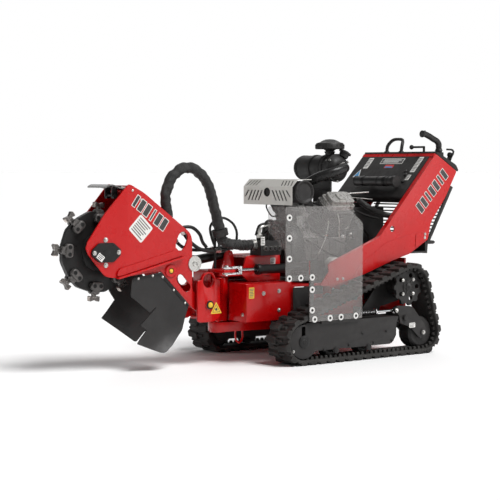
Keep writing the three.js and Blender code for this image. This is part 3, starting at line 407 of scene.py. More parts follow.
def piece(name, shape, material, body="chassis", slot=None, smooth=34, bevel=0.0, replaces=()):
    """Turns a bmesh into a piece that rides on a body, with its hard edges rounded and kept crisp."""
    if bevel:
        round_edges(shape, bevel, True)
    bmesh.ops.recalc_face_normals(shape, faces=shape.faces)
    mesh = bpy.data.meshes.new(name)
    shape.to_mesh(mesh)
    shape.free()
    mesh.polygons.foreach_set("use_smooth", [True] * len(mesh.polygons))
    mesh.set_sharp_from_angle(angle=math.radians(smooth))
    made = bpy.data.objects.new(name, mesh)
    bpy.context.scene.collection.objects.link(made)
    made.data.materials.append(material)
    if body:
        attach(made, body)
    slot = slot or next(kind for kind, group in SLOTS.items() if material in group)
    if replaces:
        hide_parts(*replaces)
    return made


def puck(radius, high):
    """The profile of a plain disc."""
    return [(0, 0), (radius, 0), (radius, high), (0, high)]


def collar(inner, outer, high):
    """The profile of a ring."""
    return [(inner, 0), (outer, 0), (outer, high), (inner, high), (inner, 0)]


def turn(shape, start, axis, profile, sides=24, phase=0.0):
    """Adds a turned body. The profile is pairs of radius and distance along the axis, in millimetres."""
    axis = axis.normalized()
    first = (UP if abs(axis.z) < 0.9 else ALONG).cross(axis).normalized()
    second = axis.cross(first)
    rings = []
    for radius, distance in profile:
        centre = start + axis * distance * MM
        if radius < 1e-4:
            rings.append([shape.verts.new(centre)])
            continue
        ring = []
        for i in range(sides):
            angle = 2 * math.pi * (i + phase) / sides
            out = first * math.cos(angle) + second * math.sin(angle)
            ring.append(shape.verts.new(centre + out * radius * MM))
        rings.append(ring)
    for low, high in zip(rings, rings[1:]):
        if len(low) == len(high) == 1:
            continue
        for i in range(sides):
            j = (i + 1) % sides
            if len(low) == 1:
                shape.faces.new((low[0], high[j], high[i]))
            elif len(high) == 1:
                shape.faces.new((low[i], low[j], high[0]))
            else:
                shape.faces.new((low[i], low[j], high[j], high[i]))
    for ring in (rings[0], rings[-1]):
        if len(ring) > 1:
            shape.faces.new(ring)
    return shape


def turned(name, spot, axis, profile, sides, material, body="chassis", **more):
    """A piece that is one turned body, standing on the spot in millimetres."""
    return piece(name, turn(bmesh.new(), at(*spot), axis, profile, sides), material, body, **more)


def rod(shape, start, end, radius, sides=16, end_radius=None):
    length = (end - start).length / MM
    last = radius if end_radius is None else end_radius
    return turn(shape, start, end - start, [(radius, 0), (last, length)], sides)


def block(shape, low, high, turned=None, origin=None):
    """A box between two corners, which may be turned about a point."""
    corners = [
        Vector((x, y, z)) for x in (low[0], high[0]) for y in (low[1], high[1]) for z in (low[2], high[2])
    ]
    points = [at(*c) for c in corners]
    if turned:
        middle = at(*origin)
        points = [middle + turned @ (p - middle) for p in points]
    verts = [shape.verts.new(p) for p in points]
    for face in ((0, 1, 3, 2), (4, 6, 7, 5), (0, 4, 5, 1), (2, 3, 7, 6), (0, 2, 6, 4), (1, 5, 7, 3)):
        shape.faces.new([verts[i] for i in face])
    return shape


def rounded(corners, steps=4):
    """A 2-D outline in which a corner [u, v, radius] is rounded."""
    points = []
    for i, corner in enumerate(corners):
        here = Vector(corner[:2])
        radius = corner[2] if len(corner) > 2 else 0
        before = Vector(corners[i - 1][:2]) - here
        after = Vector(corners[(i + 1) % len(corners)][:2]) - here
        reach = min(radius, 0.49 * before.length, 0.49 * after.length)
        if reach <= 0:
            points.append(here)
            continue
        start = here + before.normalized() * reach
        end = here + after.normalized() * reach
        for k in range(steps + 1):
            t = k / steps
            points.append(start * (1 - t) ** 2 + here * 2 * t * (1 - t) + end * t * t)
    return points


def disc(u, v, radius, sides=16):
    return [
        Vector((u + radius * math.cos(a), v + radius * math.sin(a)))
        for a in (2 * math.pi * i / sides for i in range(sides))
    ]


def sheet(shape, outline, holes, place, thick):
    """A flat sheet with holes. place turns (u, v, depth) in millimetres into a point."""
    loops = [outline, *holes]
    flat = [[Vector((p.x, p.y, 0)) for p in loop] for loop in loops]
    triangles = tessellate_polygon(flat)
    points = [p for loop in loops for p in loop]
    near = [shape.verts.new(place(p.x, p.y, 0)) for p in points]
    far = [shape.verts.new(place(p.x, p.y, thick)) for p in points]
    for a, b, c in triangles:
        shape.faces.new((near[a], near[b], near[c]))
        shape.faces.new((far[c], far[b], far[a]))
    first = 0
    for loop in loops:
        count = len(loop)
        for i in range(count):
            a = first + i
            b = first + (i + 1) % count
            shape.faces.new((near[a], near[b], far[b], far[a]))
        first += count
    return shape


def side_plate(y):
    """Lays a sheet's (u, v) on X and Z, at this y, with its thickness along Y."""
    return lambda u, v, depth: at(u, y + depth, v)


def smooth_path(points, count):
    """Points evenly placed on a Catmull-Rom curve through the given ones."""
    ends = [points[0] * 2 - points[1], *points, points[-1] * 2 - points[-2]]
    fine = []
    steps = 24
    for a, b, c, d in zip(ends, ends[1:], ends[2:], ends[3:]):
        for k in range(steps):
            t = k / steps
            point = 2 * b + (c - a) * t
            point = point + (2 * a - 5 * b + 4 * c - d) * t * t
            point = point + (3 * b - a - 3 * c + d) * t**3
            fine.append(0.5 * point)
    fine.append(points[-1].copy())
    lengths = [0.0]
    for a, b in zip(fine, fine[1:]):
        lengths.append(lengths[-1] + (b - a).length)
    made = []
    k = 0
    for i in range(count):
        want = lengths[-1] * i / (count - 1)
        while k < len(fine) - 2 and lengths[k + 1] < want:
            k += 1
        span = lengths[k + 1] - lengths[k]
        made.append(fine[k].lerp(fine[k + 1], min(1.0, (want - lengths[k]) / max(span, 1e-9))))
    return made


def sweep(shape, path, radius, sides=12, closed_ends=True):
    """A tube along a path. radius is millimetres, or a function of the share of the length and the angle."""
    layer = shape.loops.layers.uv.verify()
    tangents = [(b - a).normalized() for a, b in zip(path, path[1:])]
    tangents.append(tangents[-1].copy())
    side = tangents[0].orthogonal().normalized()
    rings = []
    for i, centre in enumerate(path):
        ahead = (tangents[i] + tangents[max(0, i - 1)]).normalized()
        side = (side - ahead * side.dot(ahead)).normalized()
        other = ahead.cross(side)
        ring = []
        for k in range(sides):
            angle = 2 * math.pi * k / sides
            reach = radius(i / (len(path) - 1), angle) if callable(radius) else radius
            ring.append(
                shape.verts.new(centre + (side * math.cos(angle) + other * math.sin(angle)) * reach * MM)
            )
        rings.append(ring)
    for i, (low, high) in enumerate(zip(rings, rings[1:])):
        for k in range(sides):
            j = (k + 1) % sides
            face = shape.faces.new((low[k], low[j], high[j], high[k]))
            corners = ((k, i), (k + 1, i), (k + 1, i + 1), (k, i + 1))
            for loop, (u, v) in zip(face.loops, corners):
                loop[layer].uv = (u / sides, v / len(path))
    if closed_ends:
        shape.faces.new(rings[0])
        shape.faces.new(rings[-1])
    return shape


def hose(shape, points, radius, count=40, sides=10):
    return sweep(shape, smooth_path([at(*p) for p in points], count), radius, sides)


def bolt(shape, place, axis, size):
    """A hex bolt's head on its washer, standing on the point."""
    turn(shape, place, axis, puck(size * 1.05, size * 0.16), 20)
    low = size * 0.16
    high = size * 0.72
    head = [(0, low), (size * 0.72, low), (size * 0.74, high * 0.85), (size * 0.6, high), (0, high)]
    return turn(shape, place, axis, head, 6, phase=random.random())


def bolts(name, body, spots, size, material=ZINC):
    """Bolts in one piece. Each spot is a point in millimetres and an axis."""
    shape = bmesh.new()
    for spot, axis in spots:
        bolt(shape, at(*spot), axis, size)
    return piece(name, shape, material, body)


def refine(node, material, body="chassis", slot=None, width=0.0012, smooth=34):
    """A carried-over CAD solid with its flat faces made whole again and its edges rounded."""
    shape = cad_shape(node)
    if width:
        round_edges(shape, width, False, width * 1.5)
    return piece(node + "_shown", shape, material, body, slot, smooth, replaces=(node,))


def label(name, body, centre, across, up, wide, high, ground, rows=3, ink=SLATE):
    """A printed label: a thin plate with a few plain bars on it, and no lettering."""
    across = across.normalized()
    up = (up - across * up.dot(across)).normalized()
    out = across.cross(up)
    centre = at(*centre)

    def place(u, v, depth):
        return centre + (across * u + up * v + out * depth) * MM

    def rectangle(u0, u1, v0, v1, corner=0):
        return rounded([(u0, v0, corner), (u1, v0, corner), (u1, v1, corner), (u0, v1, corner)])

    paper = bmesh.new()
    sheet(paper, rectangle(-wide / 2, wide / 2, -high / 2, high / 2, min(wide, high) * 0.1), [], place, 0.6)
    piece(name, paper, ground, body)
    if not rows:
        return
    bars = bmesh.new()
    step = high * 0.84 / rows
    for i in range(rows):
        middle = high * 0.42 - step * (i + 0.5)
        reach = wide * (0.4 - 0.08 * (i % 3))
        lifted = lambda u, v, depth: place(u, v, depth + 0.6)
        sheet(
            bars, rectangle(-wide * 0.4, reach, middle - step * 0.22, middle + step * 0.22), [], lifted, 0.3
        )
    piece(name + "_bars", bars, ink, body)


# ---------------------------------------------------------------- tracks
FRONT_IDLER = (-22, 125, 97)
SPROCKET = (-792, 373, 106)
REAR_IDLER = (-884, 120, 92)
TRACK_INNER = 267.5
TRACK_OUTER = 447.5
LUGS = 40


def belt_loop(count):
    """Points and outward directions evenly placed round the belt's three wheels, in XZ."""
    wheels = [FRONT_IDLER, SPROCKET, REAR_IDLER]
    fine = []
    for i, (x, z, radius) in enumerate(wheels):
        start = leaving(wheels[i - 1], wheels[i])
        end = leaving(wheels[i], wheels[(i + 1) % 3])
        while end < start:
            end += 2 * math.pi
        for k in range(25):
            angle = start + (end - start) * k / 24
            fine.append(Vector((x + radius * math.cos(angle), z + radius * math.sin(angle))))
    fine.append(fine[0].copy())
    lengths = [0.0]
    for a, b in zip(fine, fine[1:]):
        lengths.append(lengths[-1] + (b - a).length)
    made = []
    k = 0
    for i in range(count):
        want = lengths[-1] * i / count
        while lengths[k + 1] < want:
            k += 1
        share = (want - lengths[k]) / max(lengths[k + 1] - lengths[k], 1e-9)
        run = (fine[k + 1] - fine[k]).normalized()
        made.append((fine[k].lerp(fine[k + 1], share), Vector((run.y, -run.x))))
    return made


def leaving(a, b):
    lean = math.asin((b[2] - a[2]) / math.hypot(b[0] - a[0], b[1] - a[1]))
    return math.atan2(b[1] - a[1], b[0] - a[0]) - math.pi / 2 - lean


def belt_lug(shape, spot, out, y_low, y_high, length, low, high, taper, skew=0.0):
    """A block on the belt, narrower at its top."""
    run = Vector((-out.y, out.x))
    rings = []
    for depth, shrink in ((low, 0.0), (high - 3, taper * 0.8), (high, taper + 2)):
        ring = []
        for y, side in ((y_low, -1), (y_high, 1)):
            for end in (-1, 1):
                along = (length / 2 - shrink) * end * (side * -1) + skew * side
                point = spot + out * depth + run * along
                ring.append(shape.verts.new(at(point.x, y - side * shrink * 0.45, point.y)))
        rings.append(ring)
    for a, b in zip(rings, rings[1:]):
        for i in range(4):
            j = (i + 1) % 4
            shape.faces.new((a[i], a[j], b[j], b[i]))
    shape.faces.new(rings[0])
    shape.faces.new(rings[-1])


def track_belt(side):
    sign = SIDES[side]
    shape = bmesh.new()
    section = [
        (TRACK_INNER, 3), (TRACK_INNER + 4, 0), (TRACK_OUTER - 4, 0), (TRACK_OUTER, 3),
        (TRACK_OUTER, 10), (TRACK_OUTER - 6, 14), (TRACK_INNER + 6, 14), (TRACK_INNER, 10),
    ]
    rings = []
    for spot, out in belt_loop(200):
        points = [spot + out * depth for _, depth in section]
        rings.append([shape.verts.new(at(p.x, y, p.y)) for p, (y, _) in zip(points, section)])
    for i, ring in enumerate(rings):
        ahead = rings[(i + 1) % len(rings)]
        for k in range(len(section)):
            j = (k + 1) % len(section)
            shape.faces.new((ring[k], ring[j], ahead[j], ahead[k]))
    stations = belt_loop(LUGS * 2)
    for i, (spot, out) in enumerate(stations):
        if i % 2 == 0:
            belt_lug(shape, spot, out, 362, TRACK_OUTER, 44, 10, 28, 7, 4)
            belt_lug(shape, spot, out, 318, 364, 20, 10, 22, 4)
        else:
            belt_lug(shape, spot, out, TRACK_INNER, 353, 44, 10, 28, 7, -4)
            belt_lug(shape, spot, out, 351, 397, 20, 10, 22, 4)
            belt_lug(shape, spot, out, 432, TRACK_OUTER, 14, 8, 18, 3)
        belt_lug(shape, spot, -out, 412, 427, 20, -4, 15, 4)
    if sign < 0:
        for vert in shape.verts:
            vert.co.y = -vert.co.y
    name = "track_belt_" + side
    piece(name + "_shown", shape, TRACK, smooth=30, bevel=0.0016, replaces=(name,))


def tension_spring(side):
    """A coil spring about the tension rod."""
    sign = SIDES[side]
    shape = bmesh.new()
    turns = 9
    steps = turns * 18
    points = []
    for i in range(steps + 1):
        angle = 2 * math.pi * turns * i / steps
        points.append(
            at(-531 + 104 * i / steps, sign * (406 + 16 * math.cos(angle)), 250 + 16 * math.sin(angle))
        )
    sweep(shape, points, 3.2, 7)
    name = "tension_spring_" + side
    piece(name + "_shown", shape, DARK, slot="spring_steel", smooth=50, replaces=(name,))


def track_fittings(side):
    """Bolts, washers and small marks on a track's outer side."""
    sign = SIDES[side]
    out = ACROSS * sign
    y = 436 * sign
    spots = [(-426, 143), (-598, 143), (-506, 87), (-638, 89), (-158, 75), (-330, 87)]
    bolts("track_bolts_" + side, "chassis", [((x, y, z), out) for x, z in spots], 8, DARK)
    bolts("idler_bolt_" + side, "chassis", [((48, y, 79), out)], 7)
    shape = bmesh.new()
    for x, z in ((-240, 66), (-470, 66)):
        turn(shape, at(x, y, z), out, [(0, 0), (17, 0), (17, 5), (11, 7), (0, 7)], 20)
    turn(shape, at(-22, y, 125), out, [(0, 0), (34, 0), (34, 4), (28, 7), (14, 7), (12, 9), (0, 9)], 28)
    piece("track_pin_caps_" + side, shape, DARK)
    hub = []
    for i in range(4):
        angle = math.radians(45 + 90 * i)
        hub.append(((-792 + 54 * math.cos(angle), 401 * sign, 373 + 54 * math.sin(angle)), out))
    bolts("sprocket_bolts_" + side, "drive_sprocket_" + side, hub, 9)
    centre = bmesh.new()
    turn(centre, at(-792, 406 * sign, 373), out, [(0, 0), (24, 0), (24, 6), (15, 10), (9, 16), (0, 16)], 24)
    for i in range(6):
        angle = math.radians(60 * i)
        turn(
            centre, at(-792 + 31 * math.cos(angle), 405 * sign, 373 + 31 * math.sin(angle)), out,
            puck(4.5, 5), 8,
        )
    piece("sprocket_centre_" + side, centre, CAST, "drive_sprocket_" + side)
    arm = "tensioner_arm_" + side
    bolts(
        "tensioner_bolts_" + side, arm, [((-881, 432 * sign, 118), out), ((-684, 426 * sign, 250), out)], 11
    )
    label("tensioner_label_" + side, arm, (-800, 426 * sign, 162), -ALONG * sign, UP, 44, 26, WHITE, 3)


# ---------------------------------------------------------------- frame and swing
FOLD_X = 845
FOLD_SLOPE = 0.06


def fold_inward(shape):
    """The head's plates turn slightly inward ahead of a vertical fold."""
    edges = shape.verts[:] + shape.edges[:] + shape.faces[:]
    bmesh.ops.bisect_plane(shape, geom=edges, plane_co=at(FOLD_X, 0, 0), plane_no=ALONG, dist=1e-6)
    for vert in shape.verts:
        ahead = vert.co.x - at(FOLD_X, 0, 0).x
        if ahead > 0:
            share = max(-1.0, min(1.0, vert.co.y / 0.09))
            vert.co.y -= share * ahead * FOLD_SLOPE


def folded(x, y):
    """The y of a point on the head's plate once it is folded."""
    return y - math.copysign(max(0.0, x - FOLD_X) * FOLD_SLOPE, y)


def cutter_head():
    shape = cad_shape("cutter_head")
    round_edges(shape, 0.0014, False)
    fold_inward(shape)
    piece("cutter_head_shown", shape, RED, "boom", smooth=3.0, replaces=("cutter_head",))
    for side, sign in SIDES.items():
        pad = bmesh.new()
        outline = rounded([(512, 580, 6), (912, 484, 26), (900, 524, 26), (560, 606, 10)], 5)
        sheet(pad, outline, [], side_plate(99 * sign), 9 * sign)
        piece("head_rib_" + side, pad, RED, "boom", bevel=0.003)
        ring = bmesh.new()
        out = ACROSS * sign
        turn(ring, at(586, 100 * sign, 502), out, [(16, 0), (34, 0), (34, 5), (30, 9), (16, 9), (16, 0)], 28)
        piece("head_boss_" + side, ring, RED, "boom", bevel=0.001)
        turned("head_boss_floor_" + side, (586, 101 * sign, 502), out, puck(16, 3), 20, DARK, "boom")
        turned(
            "head_cap_" + side, (586, 104 * sign, 502), out, [(0, 0), (11, 0), (11, 5), (8, 8), (0, 9)], 16,
            YELLOW, "boom"
        )
        flat = bmesh.new()
        turn(flat, at(436, 100 * sign, 533), out, puck(40, 6), 40)
        turn(flat, at(436, 105 * sign, 533), out, [(0, 0), (15, 0), (15, 5), (9, 6), (9, 3), (0, 3)], 24)
        turn(flat, at(410, 105 * sign, 514), out, puck(6, 4), 6)
        piece("lift_pin_plate_" + side, flat, ZINC, "boom", bevel=0.0008)
        spots = [(967, 671), (967, 545)]
        plate_bolts = [((x, folded(x, 100 * sign), z), out) for x, z in spots]
        bolts("bearing_bolts_" + side, "boom", plate_bolts, 12)
        bolts("head_bolts_" + side, "boom", [((764, 100 * sign, 868), out), ((812, 100 * sign, 915), out)], 6)


def head_marks():
    """A bold bar decal along the head's upper edge, and a data label turned on its corner."""
    slope = Vector((-0.81, 0, -0.59)).normalized()
    lift = ACROSS.cross(slope)
    for side, sign in SIDES.items():
        for i, wide in enumerate((24, 36, 36, 16, 36, 36)):
            u = -104 + 41 * i
            x = 708 + slope.x * u
            z = 800 + slope.z * u
            centre = (x, 100.2 * sign, z)
            label(f"head_bar_{side}_{i}", "boom", centre, slope * sign, lift, wide, 68, WHITE, 0)
            raised = (x, 100.8 * sign, z)
            label(f"head_bar_{side}_{i}_dark", "boom", raised, slope * sign, lift, wide - 7, 61, INK, 0)
        tilt = Vector((-1, 0, -1)).normalized()
        label(
            "head_label_" + side, "boom", (765, 100.2 * sign, 722), tilt * sign, ACROSS.cross(tilt), 104,
            104, WHITE, 7
        )


def main_frame_marks():
    places = [(side * 235, x, z) for side in (1, -1) for x, z in ((89, 370), (-14, 378), (-14, 277))]
    bolts("frame_bolts", "chassis", [((x, y, z), ACROSS * math.copysign(1, y)) for y, x, z in places], 11)
    bolts("frame_front_bolts", "chassis", [((200, y, 262), ALONG) for y in (-200, 200)], 11)
    label("frame_label", "chassis", (168, 235.2, 376), -ALONG, UP, 34, 58, YELLOW, 6)
    label("neck_label", "chassis", (-78, 100.2, 528), -ALONG, UP, 34, 34, WHITE, 3)
    label("neck_label_right", "chassis", (-40, -100.2, 528), ALONG, UP, 40, 30, WHITE, 3)
    turned("kingpin_washer", (215, 0, 162), -UP, collar(24, 44, 6), 32, RED, bevel=0.001)
    turned("kingpin_end", (215, 0, 478), UP, puck(22, 2), 24, ZINC)


def triangle_label(name, body, x, y, z, size, ground):
    shape = bmesh.new()
    outline = rounded(
        [(x - size * 0.58, z - size * 0.5, 6), (x + size * 0.58, z - size * 0.5, 6), (x, z + size * 0.5, 6)]
    )
    sheet(shape, outline, [], side_plate(y), math.copysign(0.8, y))
    piece(name, shape, ground, body, slot="black_plastic")
    inner = bmesh.new()
    edge = math.copysign(0.8, y)
    reach = size * 0.8
    corners = ((-0.5, -0.4), (0.5, -0.4), (0, 0.46))
    big = [Vector((x + u * reach, z - size * 0.06 + v * reach)) for u, v in corners]
    mid = Vector((x, z - size * 0.14))
    small = [mid.lerp(p, 0.84) for p in big]
    sheet(inner, big, [small[::-1]], side_plate(y + edge), edge * 0.5)
    sheet(inner, disc(x, z - size * 0.14, size * 0.12, 14), [], side_plate(y + edge), edge * 0.5)
    piece(name + "_sign", inner, INK, body)


def swing_marks():
    for side, sign in SIDES.items():
        out = ACROSS * sign
        triangle_label("swing_sign_" + side, "swing_frame", 318, 127.2 * sign, 300, 62, YELLOW)
        turned(
            "pivot_cap_" + side, (362, 136 * sign, 317), out, [(0, 0), (14, 0), (14, 5), (9, 8), (0, 9)],
            18, YELLOW, "swing_frame"
        )
        turned(
            "pivot_ring_" + side, (362, 133 * sign, 317), out,
            [(15.5, 0), (23, 0), (22, 5), (15.5, 5), (15.5, 0)], 28, DARK, "swing_frame"
        )
    pin = bmesh.new()
    turn(pin, at(275, 160, 499), UP, [(0, 0), (21, 0), (21, 4), (14, 8), (9, 22), (0, 22)], 20)
    turn(pin, at(275, 160, 485), -UP, collar(10, 21, 12), 20)
    piece("swing_pin_cap", pin, ZINC, "swing_frame")


# ---------------------------------------------------------------- cutter wheel
WHEEL_X = 967
WHEEL_Z = 608


def wheel_place(angle, side):
    """Turns (radial, tangential, outward) millimetres into a point by the wheel."""
    radial = Vector((math.cos(angle), 0, math.sin(angle)))
    tangent = Vector((-math.sin(angle), 0, math.cos(angle)))

    def place(r, t, y):
        return at(WHEEL_X, 0, WHEEL_Z) + (radial * r + tangent * t + ACROSS * side * y) * MM

    return place


def loft(shape, rings):
    made = [[shape.verts.new(p) for p in ring] for ring in rings]
    for a, b in zip(made, made[1:]):
        for i in range(len(a)):
            j = (i + 1) % len(a)
            shape.faces.new((a[i], a[j], b[j], b[i]))
    shape.faces.new(made[0])
    shape.faces.new(made[-1])


def wheel_pocket(pockets, screws, place, side):
    """A rounded block clamped to the disc by two bolts, with a lip that holds the tooth."""
    oval = rounded([(-35, -22, 22), (35, -22, 22), (35, 21, 20), (-35, 21, 20)], 6)
    steps = ((13, 1), (33, 1), (36.5, 0.95), (38, 0.86))
    loft(pockets, [[place(170 + p.y * s, p.x * s, y) for p in oval] for y, s in steps])
    lip = [Vector((20 * math.cos(a), 18 * math.sin(a))) for a in (math.pi * 2 * k / 18 for k in range(18))]
    loft(pockets, [[place(196 + p.y * s, p.x * s, y) for p in lip] for y, s in ((8, 1), (27, 1), (31, 0.88))])
    for t in (-18, 18):
        rim = [(0, 0), (10.5, 0), (10.5, 1.6), (8, 2.2), (7.5, 0.6), (0, 0.6)]
        turn(screws, place(170, t, 37.6), ACROSS * side, rim, 14)


def wheel_tooth(teeth, tips, place):
    """A shank standing out past the disc's rim, with a cutting end on either hand."""
    neck = [(-11, -11), (11, -11), (11, 11), (-11, 11)]
    stem = ((190, 1.35), (206, 1.1), (218, 0.82), (230, 0.95))
    loft(teeth, [[place(r, u * s, v * s) for u, v in neck] for r, s in stem])
    head = [(-0.5, -1), (0.5, -1), (0.5, 1), (-0.5, 1)]
    steel = ((1, 8, 11), (13, 12, 12), (22, 17, 14), (27, 16, 13))
    carbide = ((26, 14, 11.5), (30, 12, 10))
    for end in (-1, 1):
        for shape, rows in ((teeth, steel), (tips, carbide)):
            rings = []
            for t, high, deep in rows:
                rings.append([place(235 + u * high * 1.6, end * t, v * deep) for u, v in head])
            loft(shape, rings)


def cutter_wheel():
    disc_shape = bmesh.new()
    flats = 16
    outline = []
    for i in range(flats):
        angle = 2 * math.pi * (i + 0.5) / flats
        reach = 207 if i % 2 else 203
        outline.append((WHEEL_X + reach * math.cos(angle), WHEEL_Z + reach * math.sin(angle), 14))
    sheet(disc_shape, rounded(outline, 3), [], side_plate(-14), 28)
    for side in (1, -1):
        turn(
            disc_shape, at(WHEEL_X, 13 * side, WHEEL_Z), ACROSS * side,
            [(0, 0), (92, 0), (92, 8), (60, 14), (50, 40), (48, 65), (24, 66), (24, 78), (0, 78)], 40,
        )
    piece(
        "wheel_disc", disc_shape, DARK, "cutter_wheel", slot="wheel_steel", smooth=30, bevel=0.0022,
        replaces=("cutter_wheel",)
    )
    pockets = bmesh.new()
    teeth = bmesh.new()
    tips = bmesh.new()
    screws = bmesh.new()
    for i in range(8):
        angle = math.radians(i * 45 + 4)
        for side in (1, -1):
            wheel_pocket(pockets, screws, wheel_place(angle, side), side)
        wheel_tooth(teeth, tips, wheel_place(angle, 1))
    piece("wheel_pockets", pockets, CAST_STEEL, "cutter_wheel", smooth=40, bevel=0.0008)
    piece("wheel_screws", screws, INK_STEEL, "cutter_wheel", slot="wheel_steel")
    piece("wheel_teeth", teeth, TOOTH, "cutter_wheel", smooth=40, bevel=0.0012)
    piece("wheel_tips", tips, CARBIDE, "cutter_wheel", smooth=40, bevel=0.0006)


def hub_cover():
    y = folded(WHEEL_X, 100)
    shape = bmesh.new()
    half = [(40, 48), (82, 14)]
    outline = [(u, v, 8) for u, v in half] + [(u, -v, 8) for u, v in half[::-1]]
    outline += [(-u, -v, 8) for u, v in half] + [(-u, v, 8) for u, v in half[::-1]]
    moved = [(WHEEL_X + u, WHEEL_Z + v, r) for u, v, r in outline]
    sheet(shape, rounded(moved, 4), [], side_plate(y - 2), 12)
    turn(shape, at(WHEEL_X, y + 9, WHEEL_Z), ACROSS, [(0, 0), (20, 0), (19, 2), (8, 3), (0, 3)], 24)
    for u, v in ((-12, 16), (14, 12)):
        turn(shape, at(WHEEL_X + u, y + 9, WHEEL_Z + v), ACROSS, puck(4, 3), 8)
    piece("hub_cover_shown", shape, DARK, "boom", bevel=0.0015, replaces=("hub_cover",))
    bolts("hub_bolts", "boom", [((WHEEL_X + u, y + 10, WHEEL_Z), ACROSS) for u in (-70, 70)], 11)
    lean = Vector((-0.78, 0, -0.62)).normalized()
    label(
        "hub_label", "boom", (WHEEL_X + 36, y + 10.2, WHEEL_Z - 22), lean, ACROSS.cross(lean), 40, 30,
        WHITE, 3
    )


# ---------------------------------------------------------------- rubber flaps
def rippled_flap(node, y, sign, outline, holes, curl, body="boom"):
    """A thick rubber sheet, finely cut up and then bent outward towards its lower end."""
    shape = bmesh.new()
    sheet(shape, outline, holes, side_plate(y), 6 * sign)
    for direction in (Vector((1, 0, 0)), Vector((0, 0, 1)), Vector((0.7, 0, 0.7))):
        for i in range(-26, 40):
            everything = shape.verts[:] + shape.edges[:] + shape.faces[:]
            level = direction * (at(700, 0, 250).dot(direction) + i * 13 * MM)
            bmesh.ops.bisect_plane(shape, geom=everything, plane_co=level, plane_no=direction, dist=1e-6)
    for vert in shape.verts:
        x = (vert.co.x - DATUM) / MM
        z = vert.co.z / MM
        vert.co.y += sign * curl(x, z) * MM
    piece(node + "_shown", shape, FLAP, body, smooth=28, replaces=(node,))


def near_curl(x, z):
    low = max(0.0, 330 - z)
    wave = 5 * math.sin((x + z) * 0.021) * min(1.0, low / 120)
    corner = max(0.0, 180 - z) / 92
    return 46 * (low / 242) ** 2.2 + wave + 16 * corner ** 1.5


def far_curl(x, z):
    low = max(0.0, 360 - z)
    return 34 * (low / 240) ** 2 + 4 * math.sin((x - z) * 0.02) * min(1.0, low / 120)


def chip_flaps():
    top = [(478, 315, 8), (650, 496, 4), (822, 470, 6)]
    near = [
        *top, (828, 384), (716, 297), (684, 322), (680, 316), (776, 237), (743, 211),
        (815, 146, 8), (668, 88, 26), (604, 127, 16), (528, 196, 16),
    ]
    far = [*top, (829, 400), (795, 350), (872, 260, 6), (649, 118, 12), (600, 170, 8), (518, 210, 16)]
    rippled_flap("chip_flap_left", 100.6, 1, rounded(near, 6), [], near_curl)
    rippled_flap("chip_flap_right", -100.6, -1, rounded(far, 6), [], far_curl)
    for side, sign in SIDES.items():
        y = 106.5 * sign
        strap = bmesh.new()
        sheet(
            strap,
            rounded([(816, 476, 3), (816, 462, 3), (652, 482, 3), (484, 312, 3), (476, 322, 3),
            (648, 498, 3)], 3), [], side_plate(y), 3 * sign
        )
        piece("flap_strap_" + side, strap, DARK, "boom", bevel=0.0006)
        spots = [(786, 472), (700, 482), (640, 474), (572, 404), (502, 334)]
        bolts("flap_bolts_" + side, "boom", [((x, 109 * sign, z), ACROSS * sign) for x, z in spots], 6)


def deflector():
    """The curved rubber lip over the wheel, with the strip that holds it down."""
    shape = bmesh.new()
    top = [(843, 930), (860, 927), (882, 933), (904, 941), (922, 945), (938, 945), (951, 941), (961, 935)]
    under = [(x - 1, z - 7) for x, z in top[::-1]]
    outline = [Vector(p) for p in top + under]
    sheet(shape, outline, [], side_plate(-89), 178)
    piece("deflector_shown", shape, LIP, "boom", smooth=40, bevel=0.0012, replaces=("deflector",))
    strip = bmesh.new()
    block(strip, (846, -86, 929), (872, 86, 934))
    piece("deflector_strip", strip, GUARD, "boom", bevel=0.0008)
    seam = bmesh.new()
    block(seam, (871, -89, 933), (879, 89, 939))
    piece("deflector_seam", seam, INK_STEEL, "boom", bevel=0.0008)
    bolts("deflector_bolts", "boom", [((859, y, 934), UP) for y in (-66, -22, 22, 66)], 6)
    hinge = bmesh.new()
    for y in (-20, 44):
        block(hinge, (872, y, 884), (904, y + 8, 930))
        block(hinge, (878, y - 6, 874), (898, y + 14, 890))
    rod(hinge, at(888, -30, 890), at(888, 62, 890), 9, 16)
    piece("deflector_hinge", hinge, DARK, "boom", bevel=0.002)


# ---------------------------------------------------------------- hoses
HOSE_UPPER = [
    (570, 52, 772), (582, 53, 830), (584, 56, 900), (556, 62, 975), (500, 69, 1020), (440, 76, 1026),
    (388, 81, 1000), (345, 86, 950), (316, 88, 870), (296, 89, 800), (276, 90, 735), (266, 90, 688),
]
HOSE_LOWER = [
    (264.5, 90, 684), (261, 90, 670), (249, 90, 650), (226, 91, 634), (186, 92, 624), (130, 92, 620),
    (63, 92, 618)
]


def sleeve_radius(seed, width=31.0):
    """The hoses inside a fabric sleeve show as soft lobes, and the sleeve gathers into creases."""

    def radius(share, angle):
        lobes = 1.6 * math.cos(3 * angle + seed + share * 5)
        crease = math.sin(share * 95 + 1.8 * math.cos(angle + seed)) * math.sin(share * 31 + seed)
        loose = noise.noise(Vector((share * 16, math.cos(angle) * 1.3 + seed, math.sin(angle) * 1.3)))
        return width - 3.4 + lobes + 2.3 * crease + 5.6 * loose

    return radius


def hose_sleeves():
    upper = bmesh.new()
    sweep(upper, smooth_path([at(*p) for p in HOSE_UPPER], 150), sleeve_radius(0.4), 28)
    shown = piece("hose_sleeve_upper", upper, SLEEVE, None, smooth=60, replaces=("hose_upper",))
    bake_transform(shown)
    lower = bmesh.new()
    sweep(lower, smooth_path([at(*p) for p in HOSE_LOWER], 70), sleeve_radius(2.0, 30.0), 28)
    under = piece("hose_sleeve_lower", lower, SLEEVE, None, smooth=60, replaces=("hose_lower",))
    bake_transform(under)


